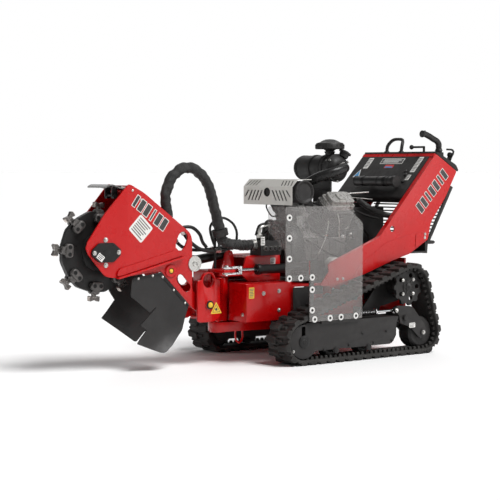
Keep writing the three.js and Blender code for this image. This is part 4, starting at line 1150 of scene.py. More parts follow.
def loose_hose(name, points, radius, bodies):
    shape = bmesh.new()
    hose(shape, points, radius, 60, 10)
    if isinstance(bodies, str):
        return piece(name, shape, HOSE, bodies, smooth=60)
    made = piece(name, shape, HOSE, None, smooth=60)
    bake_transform(made)
    return made


def crossing(name, radius, first, second):
    """A hose over both joints: two lengths that meet at a coupling held by the swing frame."""
    loose_hose(name + "_front", first, radius, ("boom", "swing_frame"))
    loose_hose(name + "_rear", second, radius, ("swing_frame", "chassis"))
    shape = bmesh.new()
    middle = first[-1]
    rod(
        shape, at(middle[0] + 16, middle[1], middle[2]), at(middle[0] - 16, middle[1], middle[2]),
        radius + 4, 6
    )
    piece(name + "_coupling", shape, ZINC, "swing_frame", bevel=0.0008)


def loose_hoses():
    """The single hoses beside the bundle."""
    loose_hose(
        "hose_loop", [(470, -10, 700), (441, 10, 719), (394, 22, 716), (352, 26, 682), (334, 28, 640),
        (318, 44, 610)], 9, ("boom", "swing_frame")
    )
    crossing(
        "hose_low", 10,
        [(452, 30, 684), (420, 40, 642), (370, 52, 606), (310, 60, 592), (262, 64, 594)],
        [(262, 64, 594), (210, 68, 600), (130, 72, 610), (56, 74, 606)],
    )
    crossing(
        "hose_low_second", 9,
        [(452, -40, 640), (410, -44, 612), (350, -30, 596), (290, 12, 598), (262, 28, 602)],
        [(262, 28, 602), (230, 36, 606), (150, 52, 618), (40, 62, 622)],
    )
    loose_hose(
        "hose_arch", [(250, 30, 600), (272, 24, 660), (286, 30, 716), (262, 40, 752), (214, 50, 764),
        (160, 56, 736), (132, 56, 690), (128, 50, 640)], 6.5, "swing_frame"
    )
    loose_hose(
        "hose_lift", [(196, -18, 594), (180, -36, 622), (200, -30, 650), (240, 10, 660), (258, 36, 650)],
        8, ("lift_barrel", "swing_frame"),
    )
    for i, (y, rise) in enumerate(((66, 30), (92, 46), (118, 34), (138, 22))):
        loose_hose(
            f"valve_hose_{i}", [(10 - 22 * i, y, 666), (-10 - 22 * i, y + 10, 690 + rise),
            (-80, y + 14, 690 + rise), (-150, y - 10, 660), (-230, y - 30, 600)], 8, "chassis"
        )
    shape = bmesh.new()
    pipe = [(10, 100, 668), (12, 100, 694), (-2, 100, 712), (-30, 100, 716), (-70, 100, 714), (-110, 96, 700)]
    sweep(shape, smooth_path([at(*p) for p in pipe], 30), 8.5, 14)
    turn(shape, at(10, 100, 655), UP, [(0, 0), (16, 0), (16, 18), (12, 22), (0, 22)], 6)
    turn(shape, at(-108, 96, 701), Vector((-1, 0, -0.4)), puck(13, 22), 6)
    piece("valve_elbow", shape, ZINC)


def hose_fittings():
    """Crimped ends where hoses meet the head and the valve."""
    shape = bmesh.new()
    for start, end in (((452, 30, 684), (466, 28, 704)), ((452, -40, 640), (470, -40, 654))):
        rod(shape, at(*start), at(*end), 14, 6)
    piece("head_hose_ends", shape, ZINC, "boom", bevel=0.0008)
    ends = bmesh.new()
    for y, z in ((74, 606), (62, 622)):
        rod(ends, at(66, y, z), at(36, y, z), 14, 6)
    for i in range(4):
        rod(ends, at(-76 + 30 * i, 150, 600), at(-76 + 30 * i, 166, 600), 13, 6)
    rod(ends, at(64, 92, 618), at(40, 92, 618), 30, 20)
    piece("valve_fittings", ends, ZINC, bevel=0.0008)
    label("valve_tag", "chassis", (30, 152, 640), -ALONG, UP, 26, 46, WHITE, 4)


# ---------------------------------------------------------------- engine
CRANK = 590


def tilted(side):
    """Turns (along the machine, across a leaning cylinder, up the cylinder) into a point."""
    up = Vector((0, math.sin(0.7 * side), math.cos(0.7)))
    across = Vector((0, math.cos(0.7) * side, -math.sin(0.7)))

    def place(x, v, w):
        return at(x, 0, CRANK) + (across * v + up * w) * MM

    return place, up


def tilted_slab(shape, place, x, v, w, corner=8):
    outline = rounded(
        [(x[0], v[0], corner), (x[1], v[0], corner), (x[1], v[1], corner), (x[0], v[1], corner)], 3
    )
    sheet(shape, outline, [], lambda a, b, depth: place(a, b, w[0] + depth), w[1] - w[0])


def engine():
    block_shape = bmesh.new()
    block(block_shape, (-560, -132, 424), (-262, 132, 640))
    block(block_shape, (-566, -166, 407), (-244, 166, 424))
    for i in range(7):
        x = -545 + 44 * i
        block(block_shape, (x, -139, 430), (x + 7, 139, 632))
    for z in (470, 560):
        block(block_shape, (-562, -137, z), (-256, 137, z + 8))
    piece("crankcase", block_shape, CASTING, bevel=0.003, replaces=("engine",))
    for name, side in SIDES.items():
        place, up = tilted(side)
        fins = bmesh.new()
        for i in range(14):
            low = 150 + i * 12
            grow = 6 if 3 < i < 11 else 0
            tilted_slab(fins, place, (-535 - grow, -350 + grow), (-66 - grow, 66 + grow), (low, low + 4), 16)
        tilted_slab(fins, place, (-512, -372), (-50, 50), (140, 318), 30)
        piece("cylinder_" + name, fins, CASTING)
        cover = bmesh.new()
        tilted_slab(cover, place, (-530, -352), (-54, 54), (312, 340), 22)
        tilted_slab(cover, place, (-520, -362), (-44, 44), (338, 366), 24)
        tilted_slab(cover, place, (-470, -412), (-24, 24), (364, 374), 14)
        for x in (-518, -364):
            for v in (-42, 42):
                bolt(cover, place(x, v, 340), up, 8)
        piece("rocker_cover_" + name, cover, BRIGHT, bevel=0.004)
        lead = bmesh.new()
        sweep(
            lead,
            smooth_path([place(-350, 30, 250), place(-320, 60, 270), place(-300, 40, 330),
            place(-300, -30, 300)], 30), 4.5, 8
        )
        piece("plug_lead_" + name, lead, HOSE, smooth=60)
        pipe = bmesh.new()
        route = [
            place(-352, -20, 262), place(-318, -26, 270), at(-300, 150 * side, 790),
            at(-262, 150 * side, 850), at(-236, 150 * side, 876)
        ]
        sweep(pipe, smooth_path(route, 30), 17, 16)
        piece("exhaust_pipe_" + name, pipe, CAST, slot="casting", smooth=60)
    turned(
        "blower_housing", (-258, 0, CRANK), ALONG, [(0, 0), (152, 0), (157, 20), (157, 60), (148, 84),
        (120, 100), (112, 104), (112, 100), (0, 100)], 48, PLASTIC, smooth=30, bevel=0.001
    )
    grille = bmesh.new()
    for ring in (28, 50, 72, 94, 108):
        turn(grille, at(-158, 0, CRANK), ALONG, collar(ring, ring + 4, 7), 40)
    for i in range(10):
        angle = math.pi * 2 * i / 10
        tip = at(-153, 110 * math.cos(angle), CRANK + 110 * math.sin(angle))
        rod(grille, at(-153, 12 * math.cos(angle), CRANK + 12 * math.sin(angle)), tip, 2.5, 6)
    piece("blower_grille", grille, CAST, slot="casting")
    filter_shape = bmesh.new()
    profile = [(0, 0), (38, 0), (38, 50), (34, 60), (30, 64), (0, 66)]
    turn(filter_shape, at(-450, 138, 500), ACROSS, profile, 28)
    piece("oil_filter", filter_shape, WHITE, slot="casting")
    starter = bmesh.new()
    turn(
        starter, at(-250, -175, 480), -ALONG, [(0, 0), (30, 0), (38, 14), (38, 150), (34, 190), (0, 190)],
        24
    )
    turn(starter, at(-280, -175, 524), -ALONG, puck(18, 80), 18)
    piece("starter_motor", starter, CAST, slot="casting", bevel=0.001)
    carburettor()
    engine_pipes()


def carburettor():
    shape = bmesh.new()
    block(shape, (-494, -40, 634), (-336, 40, 690))
    block(shape, (-470, -32, 690), (-350, 32, 760))
    turn(
        shape, at(-415, 0, 760), UP, [(0, 0), (44, 0), (44, 12), (34, 20), (34, 62), (42, 66), (42, 70),
        (0, 70)], 28
    )
    for side in (1, -1):
        place, _ = tilted(side)
        rod(shape, at(-415, 20 * side, 720), place(-440, -56, 268), 22, 18)
    piece("intake_manifold", shape, BRIGHT, bevel=0.003)


def engine_pipes():
    """Fuel lines, wires and linkage between the engine and the console."""
    runs = [
        [(-300, 150, 700), (-340, 178, 660), (-420, 190, 640), (-520, 180, 610), (-600, 150, 560)],
        [(-280, 120, 640), (-320, 170, 610), (-400, 182, 560), (-470, 176, 540), (-560, 170, 500)],
        [(-560, 60, 760), (-620, 90, 740), (-690, 120, 700), (-740, 130, 640), (-760, 120, 560)],
        [(-540, 90, 830), (-620, 120, 800), (-720, 140, 760), (-800, 150, 740)],
    ]
    dark = bmesh.new()
    for run in runs:
        hose(dark, run, 6, 40, 8)
    piece("fuel_lines", dark, HOSE, smooth=60)
    bright = bmesh.new()
    hose(
        bright, [(-330, 196, 846), (-360, 214, 800), (-372, 214, 730), (-360, 200, 640), (-330, 180, 560)],
        3, 40, 6
    )
    hose(bright, [(-410, 240, 800), (-430, 236, 740), (-452, 210, 700), (-470, 190, 640)], 3, 40, 6)
    rod(bright, at(-540, 130, 884), at(-720, 150, 892), 4, 8)
    rod(bright, at(-560, 150, 866), at(-740, 160, 852), 3, 8)
    for x, z in ((-600, 700), (-640, 650), (-580, 640)):
        turn(bright, at(x, 90, z), ACROSS, [(0, 0), (16, 0), (16, 10), (9, 18), (0, 18)], 12)
    piece("throttle_linkage", bright, ZINC)
    loom = bmesh.new()

    def ribbed(share, angle):
        return 15 + 2.2 * math.sin(share * 330)

    path = smooth_path(
        [at(*p) for p in [(-600, 200, 850), (-680, 215, 800), (-770, 220, 770), (-860, 205, 760),
        (-930, 170, 790)]], 160
    )
    sweep(loom, path, ribbed, 14)
    piece("corrugated_conduit", loom, PLASTIC, smooth=60)


# ---------------------------------------------------------------- exhaust, guard, air cleaner
def muffler():
    refine("muffler", CAST, width=0.002)
    shape = bmesh.new()
    for side in (1, -1):
        turn(
            shape, at(-200, 213 * side, 898), ACROSS * side,
            [(0, 0), (61, 0), (63, 4), (63, 10), (56, 12), (50, 8), (46, 4), (0, 3)], 44,
        )
    piece("muffler_rims", shape, CAST, bevel=0.0008)


def slot_outline(u, v, wide, high, lean):
    corners = [
        (u, v, wide * 0.45), (u + wide, v, wide * 0.45), (u + wide + lean, v + high, wide * 0.45),
        (u + lean, v + high, wide * 0.45)
    ]
    return rounded(corners, 3)


def muffler_guard():
    """The pressed steel guard: an upright face, a leaning one above it and a top, all with slots."""
    shape = bmesh.new()
    front_x = -124
    fold = 926
    outlet = disc(-10, 896, 25, 28)
    holes = [outlet]
    for i in range(5):
        shorter = 20 if i == 4 else 0
        left = -60 - 30 * i
        holes.append(slot_outline(left - 34, 850 + shorter, 12, 58 - shorter, 34))
        right = 30 + 30 * i
        holes.append(slot_outline(right + 34, 850 + shorter, 12, 58 - shorter, -34))
    face = rounded([(-222, 828, 3), (206, 828, 3), (206, fold), (-222, fold)], 3)
    sheet(shape, face, holes, lambda u, v, depth: at(front_x - depth, u, v), 3)
    slope = Vector((-0.707, 0, 0.707))
    inward = Vector((-0.707, 0, -0.707))
    leaning_holes = []
    for i in range(4):
        leaning_holes.append(slot_outline(-208 + 27 * i, 8, 11, 40, 14))
        leaning_holes.append(slot_outline(182 - 27 * i, 8, 11, 40, -14))
    leaning = [Vector((-222, 0)), Vector((206, 0)), Vector((206, 56)), Vector((-222, 56))]
    sheet(
        shape, leaning, leaning_holes,
        lambda u, v, depth: at(front_x, u, fold) + (slope * v + inward * depth) * MM, 3,
    )
    back_x = front_x - 39.6
    top_holes = []
    for i in range(5):
        for u, lean in ((-196 + 30 * i, 26), (66 + 27 * i, -26)):
            slot = [(u, -244), (u + 11, -244), (u + 11 + lean, -180), (u + lean, -180)]
            top_holes.append(rounded([(*p, 5) for p in slot], 3))
    top = rounded([(-222, -262, 3), (206, -262, 3), (206, back_x), (-222, back_x)], 3)
    sheet(shape, top, top_holes, lambda u, v, depth: at(v, u, 966 - depth), 3)
    piece("muffler_guard_shown", shape, GUARD, smooth=40, replaces=("muffler_guard",))
    turned("exhaust_outlet", (-150, -10, 896), ALONG, collar(18, 23, 30), 28, INK_STEEL)
    side = bmesh.new()
    outline = rounded(
        [(-262, 965, 6), (back_x, 965, 4), (-127, fold - 1, 6), (-127, 830, 6), (-262, 830, 6)], 4
    )
    sheet(side, outline, [disc(-200, 898, 62, 32)], side_plate(-221), 3)
    piece("guard_end", side, GUARD)


def air_cleaner():
    x, z = -520, 1028
    drum = bmesh.new()
    profile = [(0, -200), (50, -200), (62, -194), (68, -184)]
    for k in range(3):
        start = -178 + k * 10
        profile += [(69, start), (69, start + 5), (71.5, start + 6), (71.5, start + 9)]
    profile += [
        (70, -140), (70, -70), (74, -68), (74, -60), (70, -58), (70, 20), (75, 24), (75, 34), (70, 38),
        (70, 96)
    ]
    profile += [(78, 98), (78, 114), (70, 116), (58, 134), (44, 144), (34, 146), (34, 156), (0, 156)]
    turn(drum, at(x, 0, z), ACROSS, profile, 48)
    for angle in (20, 60, 100, 140, 200, 320):
        a = math.radians(angle)
        out = Vector((math.cos(a), 0, math.sin(a)))
        rod(drum, at(x, 40, z) + out * 0.071, at(x, 94, z) + out * 0.071, 3, 6)
    piece("air_cleaner_drum", drum, PLASTIC, smooth=32, bevel=0.0006, replaces=("air_cleaner",))
    stem = bmesh.new()
    turn(
        stem, at(x, 50, z + 60), UP, [(0, 0), (34, 0), (30, 8), (26, 12), (26, 22), (30, 26), (30, 32),
        (0, 32)], 28
    )
    bowl = [
        (0, 90), (22, 92), (30, 100), (44, 108), (78, 104), (82, 108), (78, 132), (74, 138), (58, 142),
        (40, 152), (24, 158), (0, 160)
    ]
    turn(stem, at(x, 50, z), UP, bowl, 40)
    for i in range(18):
        a = 2 * math.pi * i / 18
        spot = at(x + 80 * math.cos(a), 50 + 80 * math.sin(a), z + 112)
        rod(stem, spot, spot + Vector((0, 0, 0.018)), 2, 5)
    piece("pre_cleaner", stem, PLASTIC, smooth=32, bevel=0.0006)
    clips = bmesh.new()
    for angle in (35, 155, 275):
        a = math.radians(angle)
        out = Vector((math.cos(a), 0, math.sin(a)))
        spot = at(x, 92, z) + out * 0.074
        rod(clips, spot, spot + Vector((0, 0.034, 0)), 4, 8)
        turn(clips, spot + Vector((0, 0.03, 0)), out, puck(8, 6), 8)
    piece("cleaner_clips", clips, ZINC)
    bracket = bmesh.new()
    block(bracket, (x - 5, -92, 900), (x + 5, 62, 962))
    block(bracket, (x - 30, -60, 831), (x + 30, 30, 906))
    for y in (-70, 40):
        turn(bracket, at(x, y, z), ACROSS, collar(71.5, 73.5, 20), 40)
    piece("cleaner_bracket", bracket, BLACK, bevel=0.001)
    turned(
        "cleaner_cap", (x - 46, 118, z + 74), Vector((-0.5, 0.2, 1)),
        [(0, -20), (26, -16), (28, 6), (36, 8), (36, 16), (20, 22), (0, 24)], 26, PLASTIC, smooth=32,
        bevel=0.0006
    )


def intake_hose():
    path = [
        (-520, 150, 1028), (-520, 176, 1028), (-488, 198, 1022), (-420, 192, 1004), (-350, 144, 974),
        (-318, 74, 930), (-330, 12, 880), (-360, 0, 838),
    ]
    shape = bmesh.new()
    hose(shape, path, 27, 80, 24)
    piece("intake_hose_shown", shape, HOSE_SMOOTH, smooth=60, replaces=("air_cleaner",))
    clamps = bmesh.new()
    for start, direction in (((-520, 158, 1028), (0, 1, 0)), ((-357, 0, 846), (0.25, 0.05, 1))):
        ring = collar(27.4, 29.4, 11)
        turn(clamps, at(*start), Vector(direction), ring, 32)
    bolt(clamps, at(-520, 164, 1056), UP, 6)
    piece("intake_clamps", clamps, ZINC)


# ---------------------------------------------------------------- shields
SHIELD_BOLTS = [
    (94, 461), (94, 562), (94, 668), (94, 773), (19, 461), (-58, 461), (-58, 397), (-58, 290),
    (-75, 242), (-180, 242), (-255, 243), (-359, 244),
]


def shield():
    shape = bmesh.new()
    outline = [
        (-405, 229, 8), (-42, 229, 8), (-42, 447), (116.7, 447, 6), (116.7, 829, 10), (-296, 829, 14),
        (-408, 734, 14)
    ]
    sheet(shape, rounded(outline, 4), [], side_plate(452.8), 4)
    wing = rounded([(456.8, 829, 4), (308, 829, 12), (308, 700, 24), (456.8, 600, 4)], 4)
    sheet(shape, wing, [], lambda u, v, depth: at(112.6 + depth, u, v), 4)
    piece("shield_shown", shape, CLEAR, smooth=30, bevel=0.0006, replaces=("shield",))
    washers = bmesh.new()
    heads = bmesh.new()
    for x, z in SHIELD_BOLTS:
        turn(washers, at(x, 456.8, z), ACROSS, puck(17, 1.6), 28)
        turn(heads, at(x, 458.2, z), ACROSS, [(0, 0), (7.5, 0), (7.5, 3), (4, 4.5), (0, 4.5)], 6)
    piece("shield_washers", washers, WHITE_STEEL)
    piece("shield_bolts", heads, INK_STEEL)


# ---------------------------------------------------------------- console
PANEL_UP = Vector((-0.682, 0, 0.731))
PANEL_OUT = Vector((0.731, 0, 0.682))


def on_panel(y, up, out=0.0):
    """A point on the console's sloping front, measured up the slope from its lower edge, in millimetres."""
    spot = Vector((-862, y, 862)) + PANEL_UP * up + PANEL_OUT * out
    return (spot.x, spot.y, spot.z)


def console():
    refine("console_panel", BLACK, width=0)
    face = bmesh.new()
    outline = rounded([(-300, 4, 4), (268, 4, 4), (268, 318, 4), (-300, 318, 4)], 3)
    sheet(face, outline, [], lambda u, v, depth: at(*on_panel(u, v, 1 + depth)), 2.5)
    hem = [Vector(p) for p in ((-864, 868), (-861, 862), (-868, 852), (-896, 832), (-900, 834), (-872, 856))]
    sheet(face, hem, [], side_plate(-300), 568)
    piece("console_face", face, BLACK, bevel=0.0012)
    refine("console_cover", PLASTIC, width=0.004)
    refine("document_tube", PLASTIC, width=0.002)
    lip = bmesh.new()
    outline = [
        Vector(on_panel(0, up, out)[::2]) for up, out in ((318, 4), (334, 6), (337, 0), (328, -14),
        (316, -14), (314, 4))
    ]
    sheet(lip, outline, [], side_plate(-302), 604)
    piece("console_lip", lip, RED, bevel=0.001)
    for name, y, up, out, wide, high, ground, rows, ink in (
        ("label_far", -205, 262, 3.6, 40, 84, WHITE, 6, SLATE),
        ("emblem", -10, 278, 3.6, 190, 44, WHITE, 0, SLATE),
        ("emblem_dark", -10, 278, 4.2, 182, 36, SLATE, 2, WHITE),
        ("strip_red", -8, 236, 3.6, 74, 26, SIGNAL, 0, SLATE),
        ("strip_blue", -8, 230, 4.2, 60, 10, BLUE, 0, SLATE),
        ("label_near", 216, 250, 3.6, 36, 118, WHITE, 9, SLATE),
        ("label_low", 214, 150, 3.6, 30, 40, WHITE, 3, SLATE),
    ):
        spot = on_panel(y, up, out)
        label("panel_" + name, "chassis", spot, ACROSS, PANEL_UP, wide, high, ground, rows, ink)
    for name, ground, low, thick, corners in (
        ("panel_triangle", WHITE, 3.6, 0.8, ((-262, 150), (-206, 150), (-234, 214))),
        ("panel_triangle_blue", BLUE, 4.4, 0.4, ((-254, 155), (-214, 155), (-234, 202))),
    ):
        sign_shape = bmesh.new()
        outline = [Vector(p) for p in corners]
        sheet(sign_shape, outline, [], lambda u, v, depth: at(*on_panel(u, v, low + depth)), thick)
        piece(name, sign_shape, ground)
    tube_ends()
    panel_fittings()


def tube_ends():
    shape = bmesh.new()
    rings = [(-133, 29.5, 6), (60, 29, 4), (150, 29, 4), (192, 32, 16)]
    for y, radius, wide in rings:
        turn(shape, at(-880, y, 953), ACROSS, puck(radius, wide), 32)
    for k in range(8):
        a = 2 * math.pi * k / 8
        rod(
            shape, at(-880 + 31 * math.cos(a), 192, 953 + 31 * math.sin(a)),
            at(-880 + 31 * math.cos(a), 206, 953 + 31 * math.sin(a)), 3, 6
        )
    piece("document_tube_rings", shape, PLASTIC, bevel=0.0008)
    straps = bmesh.new()
    for y in (-70, 110):
        turn(straps, at(-880, y, 953), ACROSS, collar(28, 30.4, 14), 28)
    piece("document_tube_straps", straps, DARK)


def panel_fittings():
    shape = bmesh.new()
    for u, v in ((160, 196), (180, 170), (196, 120)):
        turn(shape, at(*on_panel(u, v, 0)), PANEL_OUT, [(0, 0), (13, 0), (13, 9), (9, 14), (0, 14)], 18)
    for u in (-250, 250):
        for v in (20, 150, 300):
            bolt(shape, at(*on_panel(u, v, 0)), PANEL_OUT, 6)
    piece("panel_switches", shape, PLASTIC)
    turned(
        "panel_gauge", on_panel(-160, 90, 0), PANEL_OUT, [(0, 0), (26, 0), (26, 6), (22, 8), (0, 8)], 28,
        GREY_PLASTIC
    )


ARM_OUTLINE = [
    (-1092, 1108, 12), (-663, 646, 20), (-328, 520, 10), (-296, 512, 8), (-300, 470), (-240, 400, 8),
    (-330, 392, 8), (-560, 450), (-757, 514), (-889, 547), (-1032, 624, 10), (-1054, 722, 30),
    (-1165, 855, 40), (-1257, 1009, 12)
]


def side_arm(side):
    """A pressed arm: the outer plate with its two returned edges, a doubler low down, and its foot."""
    sign = SIDES[side]
    name = "side_arm_" + side
    shape = bmesh.new()

    def across(near, far):
        return (side_plate(near * sign), (far - near) * sign)

    place, thick = across(297, 305)
    sheet(shape, rounded(ARM_OUTLINE, 5), [disc(-760, 690, 17, 24)], place, thick)
    place, thick = across(271, 303)
    front = [(-1090, 1106), (-663, 644, 16), (-328, 518), (-331, 508), (-667, 634, 12), (-1096, 1098)]
    sheet(shape, rounded(front, 4), [], place, thick)
    place, thick = across(275, 303)
    rear = [
        (-1257, 1006), (-1165, 855, 30), (-1054, 722, 24), (-1031, 640), (-1023, 644), (-1046, 727, 20),
        (-1158, 860, 26), (-1248, 1010),
    ]
    sheet(shape, rounded(rear, 4), [], place, thick)
    block(shape, (-470, sign * 235.4, 340), (-340, sign * 262, 450))
    block(shape, (-470, sign * 235.4, 424), (-340, sign * 303, 450))
    piece(name + "_shown", shape, RED, bevel=0.0012, replaces=(name,))
    doubler = bmesh.new()
    place, thick = across(305, 308)
    plate = [
        (-470, 436, 6), (-570, 466), (-757, 524), (-889, 556, 10), (-1022, 626, 8), (-1030, 674, 8),
        (-930, 664, 12), (-713, 616, 20), (-520, 500, 10)
    ]
    sheet(doubler, rounded(plate, 4), [], place, thick)
    piece(name + "_doubler", doubler, RED, bevel=0.0008)
    corner = bmesh.new()
    place, thick = across(308, 311)
    sheet(
        corner, rounded([(-930, 583, 6), (-1016, 628, 8), (-1024, 668, 8), (-936, 658, 8)], 4), [], place,
        thick
    )
    piece(name + "_corner_plate", corner, RED, bevel=0.0008)
    out = ACROSS * sign
    bolts(
        "arm_bolts_" + side, "chassis", [((x, 311 * sign, z), out) for x,
        z in ((-1004, 655), (-1002, 635))], 8
    )
    bolts(
        "arm_front_bolts_" + side, "chassis", [((x, 305 * sign, z), out) for x,
        z in ((-400, 430), (-360, 430))], 8
    )
    bolts("arm_base_bolts_" + side, "chassis", [((x, 262 * sign, 370), out) for x in (-445, -365)], 10)


def arm_marks(side):
    """A plain striped mark on the arm, in place of lettering."""
    sign = SIDES[side]
    down = Vector((0.704, 0, -0.710))
    across = -down * sign
    lift = (ACROSS * sign).cross(across)
    for i, wide in enumerate((34, 20, 34, 34, 20, 34, 34)):
        spot = Vector((-1063, 0, 898)) + down * (-132 + 44 * i)
        name = f"arm_bar_{side}_{i}"
        label(name, "chassis", (spot.x, 305.2 * sign, spot.z), across, lift, wide, 70, WHITE, 0)
        label(name + "_dark", "chassis", (spot.x, 305.8 * sign, spot.z), across, lift, wide - 6, 64, INK, 0)


def rear_guard():
    """Louvres between two narrow side bars, over the rear pan and its tie-down ring."""
    shape = bmesh.new()
    half = 284
    for y in (half - 12, -half):
        bar = [(-1232, 926, 4), (-1250, 918, 4), (-1060, 598), (-1042, 600)]
        sheet(shape, rounded(bar, 3), [], side_plate(y), 12)
    for i in range(15):
        x = -1241 + 164 * i / 14
        z = 904 - 266 * i / 14
        slat = [
            Vector(p) for p in ((x, z), (x + 34, z + 3), (x + 32, z + 10), (x + 14, z + 8), (x - 2, z + 7))
        ]
        sheet(shape, slat, [], side_plate(2 - half), 2 * half - 4)
    block(shape, (-1045, -half, 548), (-770, half, 558))
    rear = [Vector(p) for p in ((-1057, 611), (-1051, 545), (-1036, 545), (-1034, 611))]
    sheet(shape, rear, [], side_plate(3 - half), 2 * half - 6)
    ring = [
        (-1046, 262, 604), (-1112, 262, 604), (-1142, 225, 604), (-1142, 175, 604), (-1112, 138, 604),
        (-1046, 138, 604)
    ]
    hose(shape, ring, 9, 60, 14)
    piece("rear_guard_shown", shape, BLACK, bevel=0.0008, replaces=("rear_guard",))


def handles():
    refine("hoop_handle", BLACK, width=0, smooth=60)
    feet = bmesh.new()
    for y in (-125, -2):
        turn(feet, at(-1110, y, 1118), UP, [(0, 0), (17, 0), (17, 4), (13, 9), (0, 9)], 20)
    piece("hoop_feet", feet, DARK)
    refine("travel_lever", DARK, "travel_lever", width=0, smooth=60)
    refine("throttle_lever", DARK, "throttle_lever", width=0, smooth=60)
    refine("joystick_gimbal", PLASTIC, "joystick_gimbal", width=0, smooth=60)
    grip = bmesh.new()
    hose(
        grip, [(-1172, 245, 1146), (-1170, 245, 1166), (-1154, 245, 1182), (-1126, 245, 1194),
        (-1096, 245, 1208), (-1060, 245, 1220), (-1036, 245, 1222)], 17, 50, 20
    )
    turn(grip, at(-1040, 245, 1221), Vector((1, 0, 0.05)), [(0, -10), (20, -4), (20, 2), (14, 6), (0, 7)], 24)
    turn(grip, at(-1060, 245, 1234), Vector((0.2, 0, 1)), [(0, 0), (7, 0), (6, 6), (0, 7)], 14)
    piece("joystick_grip", grip, PLASTIC, "joystick", smooth=50, replaces=("joystick",))
    boot = bmesh.new()
    profile = [
        (22, 0), (22, 4), (18, 8), (20, 11), (15, 15), (17, 18), (12, 22), (13, 25), (9, 28), (8, 34),
        (0, 34)
    ]
    turn(boot, at(-1172, 245, 1126), UP, [(0, 0), *profile], 28)
    bellows = piece("joystick_boot", boot, FLAP, None, slot="black_plastic", smooth=50)
    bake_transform(bellows)
    turned(
        "cover_knob", (-1226, 262, 1062), Vector((-0.42, 0, 0.9)),
        [(0, 0), (14, 0), (14, 16), (10, 20), (10, 34), (16, 38), (16, 52), (10, 58), (0, 58)], 22, PLASTIC,
        bevel=0.001
    )
    turned(
        "travel_knob", (-1104, 92, 1148), UP, [(0, -14), (9, -11), (14, 0), (9, 11), (0, 14)], 20, PLASTIC,
        "travel_lever", smooth=60
    )


def carried_over():
    """The CAD solids shown as they are, with their edges eased."""
    for side in SIDES:
        refine("track_frame_" + side, BLACK, width=0.0015)
        refine("drive_motor_" + side, CAST, width=0.002)
        refine("tensioner_arm_" + side, BLACK, "tensioner_arm_" + side, width=0.0015)
        refine("tension_rod_" + side, CHROME, "tension_rod_" + side, width=0.0005)
        refine("drive_sprocket_" + side, CAST, "drive_sprocket_" + side, slot="cast_wheels", width=0.002)
        for wheel in ("front_idler_", "rear_idler_", "front_roller_", "rear_roller_"):
            refine(wheel + side, CAST, wheel + side, slot="cast_wheels", width=0.002, smooth=40)
    frame_piece = refine("main_frame", RED, width=0.0018)
    frame_piece.data.materials.append(DARK)
    for face in frame_piece.data.polygons:
        x, z = face.center.x - DATUM, face.center.z
        if -330 * MM < x < -240 * MM and z > 407.5 * MM:
            face.material_index = 1
    refine("swing_frame", RED, "swing_frame", width=0.0018)
    refine("cutter_motor", CAST, "boom", width=0.002)
    refine("lift_barrel", DARK, "lift_barrel", width=0.0015, smooth=40)
    refine("lift_rod", CHROME, "lift_rod", width=0.0008, smooth=40)
    refine("swing_barrel", DARK, "swing_barrel", width=0.0015, smooth=40)
    refine("swing_rod", CHROME, "swing_rod", width=0.0008, smooth=40)
    refine("hydraulic_pump", CAST, width=0.002)
    refine("control_valve", CAST, slot="casting", width=0.002)
    refine("hydraulic_tank", BLACK, width=0.006)
    refine("tank_and_battery", GREY_PLASTIC, width=0.004)
    refine("front_box", RED, width=0.0018)
    refine("frame_neck", RED, width=0.0018)
    refine("hose_clamp", BLACK, "swing_frame", width=0.001)


# ---------------------------------------------------------------- the machine
carried_over()
for side_name in SIDES:
    track_belt(side_name)
    tension_spring(side_name)
    track_fittings(side_name)
shield()
cutter_head()
head_marks()
cutter_wheel()
hub_cover()
chip_flaps()
deflector()
main_frame_marks()
swing_marks()
hose_sleeves()
loose_hoses()
hose_fittings()
engine()
muffler()
muffler_guard()
air_cleaner()
intake_hose()
console()
for side_name in SIDES:
    side_arm(side_name)
    arm_marks(side_name)
rear_guard()
handles()


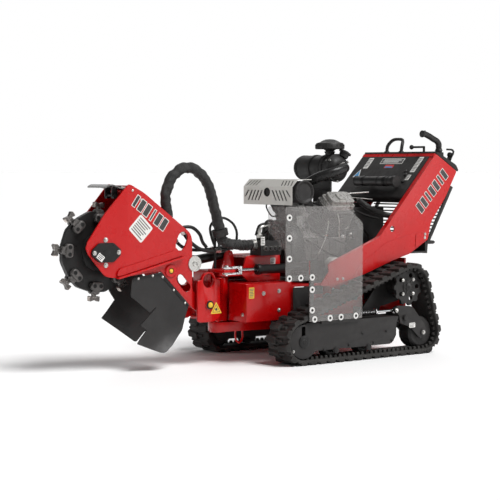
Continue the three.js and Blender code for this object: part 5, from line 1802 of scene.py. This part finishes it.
# ---------------------------------------------------------------- floor, light and camera
def studio():
    shape = bmesh.new()
    bmesh.ops.create_grid(shape, x_segments=2, y_segments=2, size=400)
    floor_mesh = bpy.data.meshes.new("floor")
    shape.to_mesh(floor_mesh)
    shape.free()
    floor = bpy.data.objects.new("floor", floor_mesh)
    bpy.context.scene.collection.objects.link(floor)
    floor.data.materials.append(floor_white())
    world = bpy.data.worlds.new("studio")
    bpy.context.scene.world = world
    world.use_nodes = True
    backdrop = world.node_tree.nodes["Background"]
    backdrop.inputs["Color"].default_value = (1, 1, 1, 1)
    room = world.node_tree.nodes.new("ShaderNodeBackground")
    room.inputs["Strength"].default_value = 0.2
    choice = world.node_tree.nodes.new("ShaderNodeMixShader")
    seen = world.node_tree.nodes.new("ShaderNodeLightPath")
    links = world.node_tree.links
    links.new(seen.outputs["Is Camera Ray"], choice.inputs["Fac"])
    links.new(room.outputs["Background"], choice.inputs[1])
    links.new(backdrop.outputs["Background"], choice.inputs[2])
    links.new(choice.outputs["Shader"], world.node_tree.nodes["World Output"].inputs["Surface"])
    sun("key", (-0.25, 0.75, 1.15), 3.1, 0.5)
    sun("rear_fill", (-0.6, -0.8, 0.9), 0.5, 0.9)
    area("sheen", (-3.6, 4.5, 1.7), (0, 0, 0.7), 2.8, 34)
    area("front_strip", (4.6, -2.6, 2.4), (0.4, 0, 0.6), 1.2, 30)


def sun(name, toward, strength, softness):
    light = bpy.data.lights.new(name, "SUN")
    light.energy = strength
    light.angle = softness
    made = bpy.data.objects.new(name, light)
    made.rotation_euler = Vector(toward).to_track_quat("Z", "Y").to_euler()
    made.location = Vector(toward) * 4
    bpy.context.scene.collection.objects.link(made)


def area(name, place, aim, size, power):
    light = bpy.data.lights.new(name, "AREA")
    light.shape = "DISK"
    light.size = size
    light.energy = power
    made = bpy.data.objects.new(name, light)
    made.location = place
    made.rotation_euler = (Vector(aim) - Vector(place)).to_track_quat("-Z", "Y").to_euler()
    bpy.context.scene.collection.objects.link(made)


def camera():
    lens = bpy.data.cameras.new("camera")
    lens.lens = 105.3
    lens.sensor_width = 36
    made = bpy.data.objects.new("camera", lens)
    made.location = (4.797, 6.283, 1.019)
    aim = Vector((0.028, 0, 0.585))
    made.rotation_euler = (aim - made.location).to_track_quat("-Z", "Y").to_euler()
    bpy.context.scene.collection.objects.link(made)
    bpy.context.scene.camera = made


studio()
camera()
bpy.context.scene.view_settings.view_transform = "Standard"
